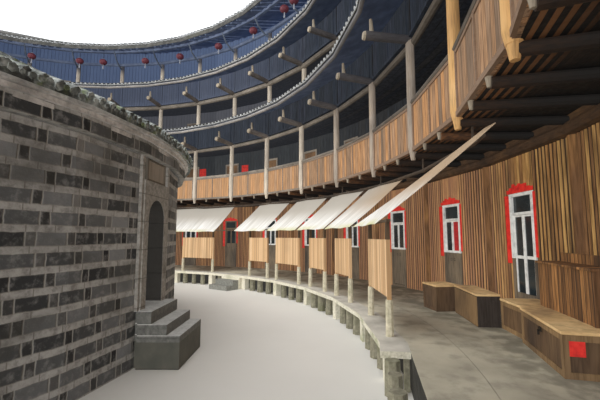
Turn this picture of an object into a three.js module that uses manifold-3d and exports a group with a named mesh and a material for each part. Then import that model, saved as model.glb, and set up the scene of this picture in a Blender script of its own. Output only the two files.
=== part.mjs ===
// A four-storey tulou roundhouse of 34 bays: a rammed-earth ring wall on a rubble footing, timber
// galleries that lean out over a courtyard, tiled roofs, and a round brick hall in the middle.
// Millimetres, +Z up, origin on the ground at the middle of the courtyard. The main gate is at -Y.

import * as THREE from 'three';
import { mergeVertices } from 'three/addons/utils/BufferGeometryUtils.js';
import Module from 'manifold-3d';

const wasm = await Module();
wasm.setup();

// Bays and the gap kept between neighbouring pieces
const BAYS = 34;
const BAY = 360 / BAYS;
const GAP = 0.3;
const GATE_BAY = 17;

// Radii, at the corners of the 34-sided rings
const PLATFORM_EDGE_R = 10750;
const BASE_R = 11150;
const BOARDS_R = 11970;
const POST_R = 12020;
const POST_SIZE = 150;
const ROOM_WALL_R = 13600;
const EARTH_IN_R = 16900;
const EARTH_OUT_R = 18100;
const EARTH_TOP_R = 17850;
const FOOTING_R = 18150;

// Heights above the ground
const PLATFORM_Z = 530;
const FLOOR_2_Z = 3950;
const FLOOR_3_Z = 6420;
const FLOOR_4_Z = 8890;
const RIM_UNDER_Z = 3830;
const FOOTING_TOP_Z = 1200;
const EARTH_TOP_Z = 12190;
const DECK = 80;
const RAIL_HEIGHT = 950;
const UPPER_RAIL_HEIGHT = 1060;
const TOP_BEAM = 160;
const TOP_BEAM_4_Z = [11000, 11220];

// Roofs: where each slope starts and ends, its rise for each unit outwards, its upright thickness
const EAVE_R = 10555;
const EAVE_Z = 11440;
const RIDGE_R = 15300;
const OUTER_EAVE_R = 19700;
const MAIN_SLOPE = 0.45;
const MAIN_THICK = 220;
const PENT_R = 10810;
const PENT_SLOPE = 0.33;
const PENT_THICK = 70;
const PENT_3_Z = 7060;
const PENT_4_Z = 9550;

// Doors of the ground storey. Two pairs of leaves turn on pins, inwards, in frames of their own
const DOOR_OFFSET = 90;
const DOOR_WIDTH = 700;
const DOOR_HEAD_Z = 2850;
const FRAME_SIZE = 60;
const FRAME_DEPTH = 100;
const SILL_TOP_Z = 590;
const TRANSOM_Z = 2450;
const LEAF_THICK = 38;
const LEAF_GAP = 6;
const JAMB_GAP = 10;
const MEETING_GAP = 12;
const LEAF_BACK = 60;
const PIN_R = 10;
const PIN_INSET = 11;
const SOCKET_R = 12;
const SOCKET_DEPTH = 30;
const TURNING_DOORS = [
  { bay: 0, name: 'near_door' },
  { bay: 1, name: 'next_door' },
];

// Shapes

/** Turns a closed geometry into a solid. */
function solid(geometry) {
  const bare = geometry.clone();
  bare.deleteAttribute('normal');
  bare.deleteAttribute('uv');
  const merged = mergeVertices(bare, 1e-3);
  return new wasm.Manifold(new wasm.Mesh({
    numProp: 3,
    vertProperties: new Float32Array(merged.attributes.position.array),
    triVerts: new Uint32Array(merged.index.array),
  }));
}

/** Joins solids that touch or overlap into one. */
function join(solids) {
  return solids.reduce((sum, next) => sum.add(next));
}

/** Angle of a bay's middle, in degrees: bay 0 is at +Y. */
function bayAngle(bay) {
  return 90 + bay * BAY;
}

/** Angle of the post between a bay and the next one. */
function postAngle(post) {
  return bayAngle(post + 0.5);
}

/** A block that lies r0 to r1 from the middle, with its width across, at an angle. */
function block(r0, r1, width, z0, z1, angle, across = 0) {
  const box = new THREE.BoxGeometry(r1 - r0, width, z1 - z0);
  box.translate((r0 + r1) / 2, across, (z0 + z1) / 2);
  box.rotateZ(THREE.MathUtils.degToRad(angle));
  return solid(box);
}

/** A closed ring: its section is a list of radius and height, anticlockwise, turned about Z. */
function ring(section, sides = BAYS, turn = 0.5) {
  const points = [...section, section[0]].map(([r, z]) => new THREE.Vector2(r, z));
  const lathe = new THREE.LatheGeometry(points, sides, turn * 2 * Math.PI / sides);
  lathe.rotateX(Math.PI / 2);
  return solid(lathe);
}

/** A ring with a rectangular section. */
function bandRing(r0, r1, z0, z1, sides, turn) {
  return ring([[r0, z0], [r1, z0], [r1, z1], [r0, z1]], sides, turn);
}

/** A wedge of the whole height between two angles, less than half a turn apart. */
function wedge(from, to) {
  const reach = 30000;
  const steps = 6;
  const outline = new THREE.Shape();
  outline.moveTo(0, 0);
  for (let i = 0; i <= steps; i += 1) {
    const angle = THREE.MathUtils.degToRad(from + (to - from) * i / steps);
    outline.lineTo(reach * Math.cos(angle), reach * Math.sin(angle));
  }
  const shape = new THREE.ExtrudeGeometry(outline, { depth: 20000, bevelEnabled: false });
  shape.translate(0, 0, -1000);
  return solid(shape);
}

/** Corners of an outline as three.js takes them. */
function corners(outline) {
  return outline.map(([x, y]) => new THREE.Vector2(x, y));
}

/** Corners of a rectangle. */
function rectangle(x0, x1, y0, y1) {
  return corners([[x0, y0], [x1, y0], [x1, y1], [x0, y1]]);
}

/** A flat plate: an outline of radius and height, with a width across, at an angle. */
function plate(outline, width, angle, across = 0) {
  const shape = new THREE.Shape(corners(outline));
  const body = new THREE.ExtrudeGeometry(shape, { depth: width, bevelEnabled: false });
  body.rotateX(Math.PI / 2);
  body.translate(0, width / 2 + across, 0);
  body.rotateZ(THREE.MathUtils.degToRad(angle));
  return solid(body);
}

/** A panel that faces the middle: an outline of across and height, from r0 to r1, at an angle. */
function facing(shape, r0, r1, angle, across = 0) {
  const body = new THREE.ExtrudeGeometry(shape, { depth: r1 - r0, bevelEnabled: false, curveSegments: 6 });
  body.rotateX(Math.PI / 2);
  body.rotateZ(Math.PI / 2);
  body.translate(r0, across, 0);
  body.rotateZ(THREE.MathUtils.degToRad(angle));
  return solid(body);
}

/** An upright pin or socket. */
function upright(radius, z0, z1, r, across, angle) {
  const pin = new THREE.CylinderGeometry(radius, radius, z1 - z0, 10);
  pin.rotateX(Math.PI / 2);
  pin.translate(r, across, (z0 + z1) / 2);
  pin.rotateZ(THREE.MathUtils.degToRad(angle));
  return solid(pin);
}

/** The results of a function for each bay. */
function eachBay(make) {
  return [...Array(BAYS).keys()].map(make);
}

/** Distance from the middle to the flat face of a 34-sided ring. */
function flat(r) {
  return r * Math.cos(Math.PI / BAYS);
}

// The scene graph

const tulou = new THREE.Group();

function addMesh(name, shape, color, roughness = 0.85) {
  const mesh = shape.getMesh();
  const geometry = new THREE.BufferGeometry();
  geometry.setAttribute('position', new THREE.BufferAttribute(mesh.vertProperties, 3));
  geometry.setIndex(new THREE.BufferAttribute(mesh.triVerts, 1));
  geometry.computeVertexNormals();
  const material = new THREE.MeshStandardMaterial({ color, roughness, metalness: 0 });
  const piece = new THREE.Mesh(geometry, material);
  piece.name = name;
  tulou.add(piece);
}

const COLOURS = {
  earth: 0xb5925f,
  rubble: 0x77736a,
  stone: 0xa5a294,
  concrete: 0x8e8b84,
  darkWood: 0x4c3524,
  warmWood: 0x9a6a3c,
  greyWood: 0x6d5a47,
  paleWood: 0xb99467,
  tile: 0x4b4a48,
  brick: 0x57534e,
  sheet: 0xc9c3b4,
  white: 0xd8d8d4,
};

// Earth wall, footing and main gate

const GATE_WIDTH = 1900;
const GATE_TOP_Z = 3300;
const GATE_FRAME = 350;
const WINDOW_WIDTH = 480;
const WINDOW_ROWS = [
  { sill: 7300, head: 8050, bays: eachBay((bay) => bay).filter((bay) => bay % 2 === 0) },
  { sill: 9750, head: 10500, bays: eachBay((bay) => bay) },
];

function footing() {
  const whole = bandRing(EARTH_IN_R, FOOTING_R, 0, FOOTING_TOP_Z - GAP);
  return whole.subtract(gateSlot());
}

/** The room that the gate's stone frame takes in the wall. */
function gateSlot() {
  const width = GATE_WIDTH + 2 * GATE_FRAME + 2 * GAP;
  const top = GATE_TOP_Z + GATE_FRAME + GAP;
  return block(EARTH_IN_R - 400, FOOTING_R + 600, width, -100, top, bayAngle(GATE_BAY));
}

function earthWall() {
  const section = [
    [EARTH_IN_R, FOOTING_TOP_Z], [EARTH_OUT_R, FOOTING_TOP_Z],
    [EARTH_TOP_R, EARTH_TOP_Z], [EARTH_IN_R, EARTH_TOP_Z],
  ];
  const windows = WINDOW_ROWS.flatMap(({ sill, head, bays }) => bays.map(
    (bay) => block(EARTH_IN_R - 400, EARTH_OUT_R + 400, WINDOW_WIDTH, sill, head, bayAngle(bay)),
  ));
  return ring(section).subtract(join([gateSlot(), ...windows]));
}

/** The wall is rammed in four lengths that meet at post lines. */
function addEarthWall() {
  const whole = earthWall();
  const names = ['earth_wall_north', 'earth_wall_west', 'earth_wall_gate', 'earth_wall_east'];
  const joints = [-5, 4, 12, 21, 29];
  const slit = join(joints.map((post) => block(0, 30000, GAP, -100, 20000, postAngle(post))));
  const cut = whole.subtract(slit);
  names.forEach((name, i) => {
    const sector = wedge(postAngle(joints[i]), postAngle(joints[i + 1]));
    addMesh(name, cut.intersect(sector), COLOURS.earth, 0.95);
  });
}

/** Stone jambs, lintel and sill, the two steps outside, and both leaves standing open. */
function mainGate() {
  const outer = GATE_WIDTH / 2 + GATE_FRAME;
  const inner = GATE_WIDTH / 2;
  const frame = new THREE.Shape(rectangle(-outer, outer, 0, GATE_TOP_Z + GATE_FRAME));
  frame.holes.push(new THREE.Path(rectangle(-inner, inner, PLATFORM_Z, GATE_TOP_Z)));
  const angle = bayAngle(GATE_BAY);
  const front = FOOTING_R + 60;
  const stepDepth = 320;
  const steps = [1, 2].map((n) => block(
    front - 10, front + n * stepDepth, GATE_WIDTH + 400, 0, PLATFORM_Z * (3 - n) / 3, angle,
  ));
  const leafWidth = 880;
  const leafThick = 70;
  const leaves = [-1, 1].map((side) => block(
    EARTH_IN_R + 60, EARTH_IN_R + 60 + leafWidth, leafThick,
    PLATFORM_Z + 20, GATE_TOP_Z, angle, side * (inner - leafThick / 2 + 5),
  ));
  return join([facing(frame, flat(EARTH_IN_R), front, angle), ...steps, ...leaves]);
}

// Platform, floors and ground storey

const FLOOR_OUT_R = EARTH_IN_R - GAP;
const EDGE_SLAB = 90;
const EDGE_POST_SIZE = 200;

function groundFloor() {
  return bandRing(BASE_R + GAP, FLOOR_OUT_R, 0, PLATFORM_Z);
}

/** Steps from the courtyard up to the platform, on stones that run in under its edge. */
function courtSteps(bay, width, across = 0) {
  const rise = PLATFORM_Z / 3;
  const tread = 320;
  const back = BASE_R - 150;
  const under = PLATFORM_Z - EDGE_SLAB + 1;
  const r = flat(PLATFORM_EDGE_R);
  const outline = [
    [back, 0], [back, under], [r, under], [r, 2 * rise], [r - tread, 2 * rise],
    [r - tread, rise], [r - 2 * tread, rise], [r - 2 * tread, 0],
  ];
  return plate(outline, width, bayAngle(bay), across);
}

/** Angles between which the platform has no stone slab along its edge. */
const BARE_EDGE = [74.1, 82.5];

/** The stone slab that edges the platform, on short stone posts, with steps at two places. */
function platformEdge() {
  const slab = bandRing(PLATFORM_EDGE_R, BASE_R, PLATFORM_Z - EDGE_SLAB, PLATFORM_Z)
    .subtract(wedge(...BARE_EDGE));
  const r0 = PLATFORM_EDGE_R + 50;
  const posts = eachBay((bay) => block(
    r0, r0 + EDGE_POST_SIZE, EDGE_POST_SIZE, 0, PLATFORM_Z - EDGE_SLAB, postAngle(bay),
  ));
  return join([slab, ...posts, courtSteps(5, 1040, -300), courtSteps(GATE_BAY, 1800)]);
}

const WALL_TOP_Z = 3530;
const BOARD_THICK = 60;

/** Board wall of the ground storey, with a doorway in each bay and the gate's bay left open. */
function kitchenWalls() {
  const turning = TURNING_DOORS.map(({ bay }) => bay);
  const boards = bandRing(ROOM_WALL_R, ROOM_WALL_R + BOARD_THICK, PLATFORM_Z + GAP, WALL_TOP_Z);
  const doorways = eachBay((bay) => {
    const turns = turning.includes(bay);
    const width = DOOR_WIDTH + (turns ? 2 * GAP : 0);
    const head = turns ? WALL_TOP_Z + 100 : DOOR_HEAD_Z;
    return block(ROOM_WALL_R - 300, ROOM_WALL_R + 300, width, 0, head, bayAngle(bay), DOOR_OFFSET);
  });
  const gateHall = block(ROOM_WALL_R - 300, ROOM_WALL_R + 300, 2300, 0, 5000, bayAngle(GATE_BAY));
  return boards.subtract(join([...doorways, gateHall]));
}

/** The wall is in three lengths, which end at the turning doors and at the gate's bay. */
function addKitchenWalls() {
  const whole = kitchenWalls();
  const [near, next] = TURNING_DOORS.map(({ bay }) => bayAngle(bay) + 1);
  const far = bayAngle(GATE_BAY);
  const half = (near + far) / 2;
  addMesh('kitchen_wall_between_doors', whole.intersect(wedge(near, next)), COLOURS.darkWood);
  const west = join([wedge(next, half), wedge(half - 1, far)]);
  const east = join([wedge(far, far + 90), wedge(far + 89, near + 360)]);
  addMesh('kitchen_wall_west', whole.intersect(west), COLOURS.darkWood);
  addMesh('kitchen_wall_east', whole.intersect(east), COLOURS.darkWood);
}

function kitchenWallBeam() {
  return bandRing(ROOM_WALL_R - 70, ROOM_WALL_R + 140, WALL_TOP_Z + GAP, RIM_UNDER_Z - GAP);
}

/** Face of a turning door's frame, a little proud of the boards. */
const FRAME_R = flat(ROOM_WALL_R) - 20;

/** Middle of a leaf's pins: radius, and distance across from the doorway's middle. */
const PIN_AT_R = FRAME_R + LEAF_BACK - PIN_INSET;
const PIN_ACROSS = DOOR_WIDTH / 2 - FRAME_SIZE - JAMB_GAP - PIN_INSET;

/** Sill, jambs, transom and head of a turning door, the light and boards over it, and its sockets. */
function doorFrame(bay) {
  const half = DOOR_WIDTH / 2;
  const inner = half - FRAME_SIZE;
  const face = new THREE.Shape(rectangle(-half, half, PLATFORM_Z + GAP, WALL_TOP_Z));
  face.holes.push(new THREE.Path(rectangle(-inner, inner, SILL_TOP_Z, TRANSOM_Z)));
  const light = rectangle(-inner, inner, TRANSOM_Z + FRAME_SIZE, DOOR_HEAD_Z - FRAME_SIZE);
  face.holes.push(new THREE.Path(light));
  const body = facing(face, FRAME_R, FRAME_R + FRAME_DEPTH, bayAngle(bay), DOOR_OFFSET);
  const sockets = [-1, 1].flatMap((side) => [
    [SILL_TOP_Z - SOCKET_DEPTH, SILL_TOP_Z + 1],
    [TRANSOM_Z - 1, TRANSOM_Z + SOCKET_DEPTH],
  ].map(([z0, z1]) => upright(SOCKET_R, z0, z1, PIN_AT_R, DOOR_OFFSET + side * PIN_ACROSS, bayAngle(bay))));
  return body.subtract(join(sockets));
}

/** One leaf with the pins that it turns on: side is 1 for the left leaf seen from the court. */
function doorLeaf(bay, side) {
  const outer = DOOR_WIDTH / 2 - FRAME_SIZE - JAMB_GAP;
  const width = outer - MEETING_GAP / 2;
  const across = DOOR_OFFSET + side * (outer - width / 2);
  const z0 = SILL_TOP_Z + LEAF_GAP;
  const z1 = TRANSOM_Z - LEAF_GAP;
  const back = FRAME_R + LEAF_BACK;
  const leaf = block(back - LEAF_THICK, back, width, z0, z1, bayAngle(bay), across);
  const pinLow = SILL_TOP_Z - SOCKET_DEPTH + GAP;
  const pinHigh = TRANSOM_Z + SOCKET_DEPTH - 2;
  const pinAcross = DOOR_OFFSET + side * PIN_ACROSS;
  const pins = [[pinLow, z0 + 1], [z1 - 1, pinHigh]].map(
    ([low, high]) => upright(PIN_R, low, high, PIN_AT_R, pinAcross, bayAngle(bay)),
  );
  return join([leaf, ...pins]);
}

// Upper storeys

/** A floor of boards from the gallery's edge to the earth wall. */
function deck(floor, under) {
  return bandRing(POST_R + GAP, FLOOR_OUT_R, under, floor);
}

/** Board front of a gallery, from its rim to the hand rail. */
function balustrade(bottom, top) {
  return bandRing(BOARDS_R, POST_R - GAP, bottom, top);
}

/** Posts of a gallery under one ring beam: a band with the openings cut out of it. */
function postRing(floor, beamUnder, beamTop) {
  const band = bandRing(POST_R, POST_R + POST_SIZE, floor + GAP, beamTop);
  const chord = 2 * (POST_R + POST_SIZE / 2) * Math.sin(Math.PI / BAYS);
  const openings = eachBay((bay) => block(
    POST_R - 300, POST_R + 500, chord - POST_SIZE, floor - 100, beamUnder, bayAngle(bay),
  ));
  return band.subtract(join(openings));
}

const ARM_TIP_R = 11060;

/** Posts and ring beam of a gallery, with arms that reach out under the pent roof over it. */
function galleryFrame(floor, nextFloor) {
  const beamTop = nextFloor - DECK;
  const beamUnder = beamTop - TOP_BEAM;
  const arms = eachBay((bay) => block(
    ARM_TIP_R, POST_R + 30, 130, beamTop - 140, beamTop, postAngle(bay),
  ));
  return join([postRing(floor, beamUnder, beamTop), ...arms]);
}

/** Fronts of the second storey's posts, which stand out from the boards between them. */
function postFronts() {
  const fronts = eachBay((bay) => block(
    BOARDS_R - 70, POST_R + 10, POST_SIZE - 10, RIM_UNDER_Z, FLOOR_3_Z - DECK - 20, postAngle(bay),
  ));
  const boards = bandRing(
    BOARDS_R - GAP, POST_R + 20, RIM_UNDER_Z - 10, FLOOR_2_Z + RAIL_HEIGHT + GAP,
  );
  return join(fronts).subtract(boards);
}

/** Height of the main roof's underside over a radius of its inner slope. */
function roofUnder(r) {
  return EAVE_Z - MAIN_THICK + MAIN_SLOPE * (r - EAVE_R);
}

/** The top gallery: posts, ring beam, and curved brackets that carry the eave. */
function topGalleryFrame() {
  const tipIn = 11130;
  const tipOut = 11290;
  const tipZ = roofUnder(tipIn) - GAP;
  const foot = POST_R + 20;
  const outline = [[foot, 10780], [foot, 10960], [tipOut, tipZ], [tipIn, tipZ]];
  const brackets = eachBay((bay) => plate(outline, 80, postAngle(bay)));
  return join([postRing(FLOOR_4_Z, ...TOP_BEAM_4_Z), ...brackets]);
}

/** Board wall of the rooms behind a gallery, with a doorway in each bay. */
function roomWall(floor, top) {
  const boards = bandRing(ROOM_WALL_R, ROOM_WALL_R + BOARD_THICK, floor + GAP, top);
  const doorways = eachBay((bay) => block(
    ROOM_WALL_R - 300, ROOM_WALL_R + 300, 760, floor - 100, floor + 1800, bayAngle(bay), DOOR_OFFSET,
  ));
  return boards.subtract(join(doorways));
}

/** Tiled pent roof in front of a gallery's boards. */
function pentRoof(edgeZ) {
  const inner = BOARDS_R - GAP;
  const rise = PENT_SLOPE * (inner - PENT_R);
  return ring([
    [PENT_R, edgeZ - PENT_THICK], [inner, edgeZ + rise - PENT_THICK], [inner, edgeZ + rise], [PENT_R, edgeZ],
  ]);
}

// Main roof

const RIDGE_Z = EAVE_Z + MAIN_SLOPE * (RIDGE_R - EAVE_R);
const OUTER_EAVE_Z = RIDGE_Z - MAIN_SLOPE * (OUTER_EAVE_R - RIDGE_R);
const RIDGE_CAP = 200;

/** Rows of cover tiles that stand out of both slopes: their places in each bay, and their section. */
const INNER_ROWS = [-1 / 4, 1 / 4];
const OUTER_ROWS = [-4 / 15, 4 / 15];
const ROW_WIDTH = 108;
const ROW_TOP_WIDTH = 60;
const ROW_HEIGHT = 58;
const ROW_SUNK = 30;
const ROW_CLEAR = 40;

/** One row of cover tiles between two corner radii of a slope, at a place counted in bays. */
function tileRow(from, to, slope, place) {
  const foot = ROW_WIDTH / 2;
  const top = ROW_TOP_WIDTH / 2;
  const section = new THREE.Shape(corners([
    [-foot, -ROW_SUNK], [foot, -ROW_SUNK], [top, ROW_HEIGHT], [-top, ROW_HEIGHT],
  ]));
  const start = faceRadius(from, place);
  const run = faceRadius(to, place) - start;
  const rise = slope * (to - from);
  const row = new THREE.ExtrudeGeometry(section, { depth: Math.hypot(run, rise), bevelEnabled: false });
  row.rotateX(Math.PI / 2);
  row.rotateZ(Math.PI / 2);
  row.rotateY(-Math.atan2(rise, run));
  row.translate(start, 0, RIDGE_Z - MAIN_SLOPE * Math.abs(from - RIDGE_R));
  row.rotateZ(THREE.MathUtils.degToRad(bayAngle(place)));
  return solid(row);
}

/** The same rows in each bay of a slope. */
function tileRows(from, to, slope, places) {
  return join(eachBay((bay) => join(places.map((place) => tileRow(from, to, slope, bay + place)))));
}

function mainRoofInner() {
  const top = RIDGE_R - GAP;
  const slab = ring([
    [EAVE_R, EAVE_Z - MAIN_THICK], [top, RIDGE_Z - MAIN_THICK], [top, RIDGE_Z], [EAVE_R, EAVE_Z],
  ]);
  const rows = tileRows(EAVE_R + ROW_CLEAR, RIDGE_R - RIDGE_CAP - ROW_CLEAR, MAIN_SLOPE, INNER_ROWS);
  return slab.add(rows);
}

function mainRoofOuter() {
  const slab = ring([
    [RIDGE_R, RIDGE_Z - MAIN_THICK], [OUTER_EAVE_R, OUTER_EAVE_Z - MAIN_THICK],
    [OUTER_EAVE_R, OUTER_EAVE_Z], [RIDGE_R, RIDGE_Z],
  ]);
  const rows = tileRows(RIDGE_R + RIDGE_CAP + ROW_CLEAR, OUTER_EAVE_R - ROW_CLEAR, -MAIN_SLOPE, OUTER_ROWS);
  return slab.add(rows);
}

/** Ridge cap that sits astride both slopes. */
function mainRidge() {
  const foot = RIDGE_Z - MAIN_SLOPE * RIDGE_CAP;
  const edgeHeight = 150;
  const crownHeight = 260;
  return ring([
    [RIDGE_R - RIDGE_CAP, foot + 2 * GAP], [RIDGE_R, RIDGE_Z + 2 * GAP],
    [RIDGE_R + RIDGE_CAP, foot + 2 * GAP], [RIDGE_R + RIDGE_CAP, foot + edgeHeight],
    [RIDGE_R, RIDGE_Z + crownHeight], [RIDGE_R - RIDGE_CAP, foot + edgeHeight],
  ]);
}

// Round brick hall in the courtyard

const HALL_R = 6950;
const HALL_WALL = 350;
const HALL_FLOOR_Z = 880;
const HALL_EAVE_R = 7250;
const HALL_EAVE_Z = 3800;
const HALL_ROOF_THICK = 100;
const HALL_ROOF_SLOPE = 0.42;
const HALL_COURT_R = 3000;
const PORTAL_WIDTH = 1040;
const PORTAL_TOP_Z = 3000;
const PORTAL_FRONT_R = 6990;
const ARCH_WIDTH = 680;
const ARCH_TOP_Z = 2700;
const HALL_DOOR_BAYS = [0, GATE_BAY];

function hallWall() {
  const inner = HALL_R - HALL_WALL;
  const cornice = HALL_R + 150;
  const corniceZ = 3400;
  const under = (r) => HALL_EAVE_Z - HALL_ROOF_THICK + HALL_ROOF_SLOPE * (HALL_EAVE_R - r) - GAP;
  const section = [
    [inner, 0], [HALL_R, 0], [HALL_R, corniceZ], [cornice, corniceZ], [cornice, under(cornice)],
    [inner, under(inner)],
  ];
  const portals = HALL_DOOR_BAYS.map((bay) => block(
    inner - 500, HALL_R + 500, PORTAL_WIDTH + 2 * GAP, -100, PORTAL_TOP_Z + GAP, bayAngle(bay),
  ));
  return ring(section).subtract(join(portals));
}

/** Landing and two stone steps in front of a hall doorway. */
function hallSteps(bay) {
  const r = PORTAL_FRONT_R - 5;
  const outline = [
    [r, 0], [7660, 0], [7660, 510], [7450, 510], [7450, 680], [7200, 680],
    [7200, HALL_FLOOR_Z], [r, HALL_FLOOR_Z],
  ];
  return plate(outline, 1200, bayAngle(bay));
}

/** Stone frame of a hall doorway, with an arched opening through it and steps up to it. */
function hallDoorway(bay) {
  const half = PORTAL_WIDTH / 2;
  const arch = ARCH_WIDTH / 2;
  const frame = new THREE.Shape(rectangle(-half, half, 0, PORTAL_TOP_Z));
  const opening = new THREE.Path();
  opening.moveTo(-arch, HALL_FLOOR_Z);
  opening.lineTo(arch, HALL_FLOOR_Z);
  opening.lineTo(arch, ARCH_TOP_Z - arch);
  opening.absarc(0, ARCH_TOP_Z - arch, arch, 0, Math.PI);
  opening.lineTo(-arch, HALL_FLOOR_Z);
  frame.holes.push(opening);
  const stones = facing(frame, flat(HALL_R - HALL_WALL), PORTAL_FRONT_R, bayAngle(bay));
  return join([stones, hallSteps(bay)]);
}

function hallFloor() {
  return bandRing(HALL_COURT_R - 100, HALL_R - HALL_WALL - GAP, 0, HALL_FLOOR_Z);
}

function hallRoof() {
  const ridgeR = (HALL_EAVE_R + HALL_COURT_R) / 2;
  const ridgeZ = HALL_EAVE_Z + HALL_ROOF_SLOPE * (HALL_EAVE_R - ridgeR);
  const under = HALL_ROOF_THICK;
  return ring([
    [HALL_COURT_R, HALL_EAVE_Z - under], [ridgeR, ridgeZ - under], [HALL_EAVE_R, HALL_EAVE_Z - under],
    [HALL_EAVE_R, HALL_EAVE_Z], [ridgeR, ridgeZ], [HALL_COURT_R, HALL_EAVE_Z],
  ]);
}

/** Eight posts and a ring beam round the hall's small court. */
function hallFrame() {
  const sides = 8;
  const r = 3500;
  const size = 160;
  const beamTop = 3760;
  const beam = bandRing(r - size / 2, r + size / 2, beamTop - 200, beamTop, sides, 0.5);
  const posts = [...Array(sides).keys()].map((i) => {
    const angle = 90 + (i + 0.5) * 360 / sides;
    return block(
      r - size / 2 + 10, r + size / 2 - 10, size - 20, HALL_FLOOR_Z + GAP, beamTop - 200, angle,
    );
  });
  return join([beam, ...posts]);
}

// Awnings, and the posts and board screens on the platform's edge. Places are counted in bays

const AWNING_LOW = [10780, 2280];
const AWNING_HIGH = [12230, 3500];
const AWNING_WIDTH = 1840;
const AWNING_THICK = 26;
const LEDGER_R = 12150;
const LEDGER_DEPTH = 90;
const LEDGER_Z = [3400, 3490];
const POLE_R = 10950;
const POLE = 64;
const POLE_HEIGHT = 40;
const EDGE_POST = 64;
const SCREEN_THICK = 30;
const SCREEN_Z = [1120, 2010];
const SIDES = [
  {
    name: 'west',
    awnings: [0.34, 1.38, 2.34, 3.32, 4.36, 5.9, 6.7, 9, 10, 11, 12, 13],
    screens: [
      [-0.33, 0.42], [1.1, 1.61], [1.97, 2.49], [2.83, 3.57], [3.84, 4.41], [5.53, 6.37],
      [8.7, 9.3], [9.7, 10.3], [10.7, 11.3], [11.7, 12.3], [12.7, 13.3],
    ],
  },
  {
    name: 'east',
    awnings: [-6, -7, -8, -9, -11, -12, -13, -14],
    screens: [-6, -7, -8, -9, -11, -12, -13, -14].map((place) => [place - 0.3, place + 0.3]),
  },
];

/** Radius of a 34-sided ring's face at a place. */
function faceRadius(r, place) {
  const part = place - Math.round(place);
  return flat(r) / Math.cos(THREE.MathUtils.degToRad(part * BAY));
}

/** The stretch of a ring between two places. */
function stretch(whole, from, to) {
  const middle = (from + to) / 2;
  const halves = [[from, middle + 0.1], [middle - 0.1, to]];
  return whole.intersect(join(halves.map(([a, b]) => wedge(bayAngle(a), bayAngle(b)))));
}

/** One thin sheet, sloping down from the ledger to over the platform's edge. */
function awning(place) {
  const rise = AWNING_HIGH[1] - AWNING_LOW[1];
  const run = AWNING_HIGH[0] - AWNING_LOW[0];
  const sheet = new THREE.BoxGeometry(Math.hypot(rise, run), AWNING_WIDTH, AWNING_THICK);
  sheet.rotateY(-Math.atan2(rise, run));
  sheet.translate((AWNING_LOW[0] + AWNING_HIGH[0]) / 2, 0, (AWNING_LOW[1] + AWNING_HIGH[1]) / 2);
  sheet.rotateZ(THREE.MathUtils.degToRad(bayAngle(place)));
  return solid(sheet);
}

/** The awnings of one side with the ledger that holds them, on hangers under the gallery's floor. */
function awnings(places) {
  const ledger = bandRing(LEDGER_R, LEDGER_R + LEDGER_DEPTH, ...LEDGER_Z);
  const first = Math.min(...places) - 0.44;
  const last = Math.max(...places) + 0.44;
  const hangers = eachBay((bay) => block(
    LEDGER_R - 10, LEDGER_R + LEDGER_DEPTH - 20, 70, LEDGER_Z[0] + 10, RIM_UNDER_Z - GAP, postAngle(bay),
  ));
  return join([stretch(join([ledger, ...hangers]), first, last), ...places.map(awning)]);
}

/** Posts on the platform's edge, the pole on them under the awnings, and screens between posts. */
function edgeFrame(screens) {
  const slope = Math.atan2(AWNING_HIGH[1] - AWNING_LOW[1], AWNING_HIGH[0] - AWNING_LOW[0]);
  const side = Math.asin(AWNING_WIDTH / 2 / POLE_R);
  const over = flat(POLE_R) * Math.cos(side) - AWNING_LOW[0];
  const poleTop = AWNING_LOW[1] + over * Math.tan(slope) - AWNING_THICK / 2 / Math.cos(slope) - GAP;
  const pole = bandRing(POLE_R, POLE_R + POLE, poleTop - POLE_HEIGHT, poleTop);
  const ends = screens.flat();
  const length = stretch(pole, Math.min(...ends) - 0.04, Math.max(...ends) + 0.04);
  const parts = screens.flatMap(([from, to]) => {
    const posts = [from, to].map((place) => {
      const r = faceRadius(POLE_R + POLE / 2, place) - EDGE_POST / 2;
      const top = poleTop - POLE_HEIGHT;
      return block(r, r + EDGE_POST, EDGE_POST, PLATFORM_Z + GAP, top, bayAngle(place));
    });
    const reach = THREE.MathUtils.degToRad((to - from) * BAY / 2);
    const r = flat(POLE_R + POLE / 2) * Math.cos(reach);
    const width = 2 * r * Math.tan(reach) - EDGE_POST + 20;
    const screen = block(r - 15, r - 15 + SCREEN_THICK, width, ...SCREEN_Z, bayAngle((from + to) / 2));
    return [...posts, screen];
  });
  return join([length, ...parts]);
}

// Bench with a cupboard on it, and a chest, along the kitchen wall near the turning doors

function benchWithCupboard() {
  const near = block(12600, 13300, 1410, PLATFORM_Z + GAP, PLATFORM_Z + 500, 75, 1645);
  const next = block(12895, 13480, 920, PLATFORM_Z + GAP, PLATFORM_Z + 490, 85, 500);
  const cupboard = block(13080, 13400, 1500, PLATFORM_Z + 480, PLATFORM_Z + 1160, 78, 1250);
  return join([near, next, cupboard]);
}

function chest() {
  return block(12500, 12880, 1200, PLATFORM_Z + GAP, PLATFORM_Z + 550, 84, 1800);
}

// Put the building together

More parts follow.
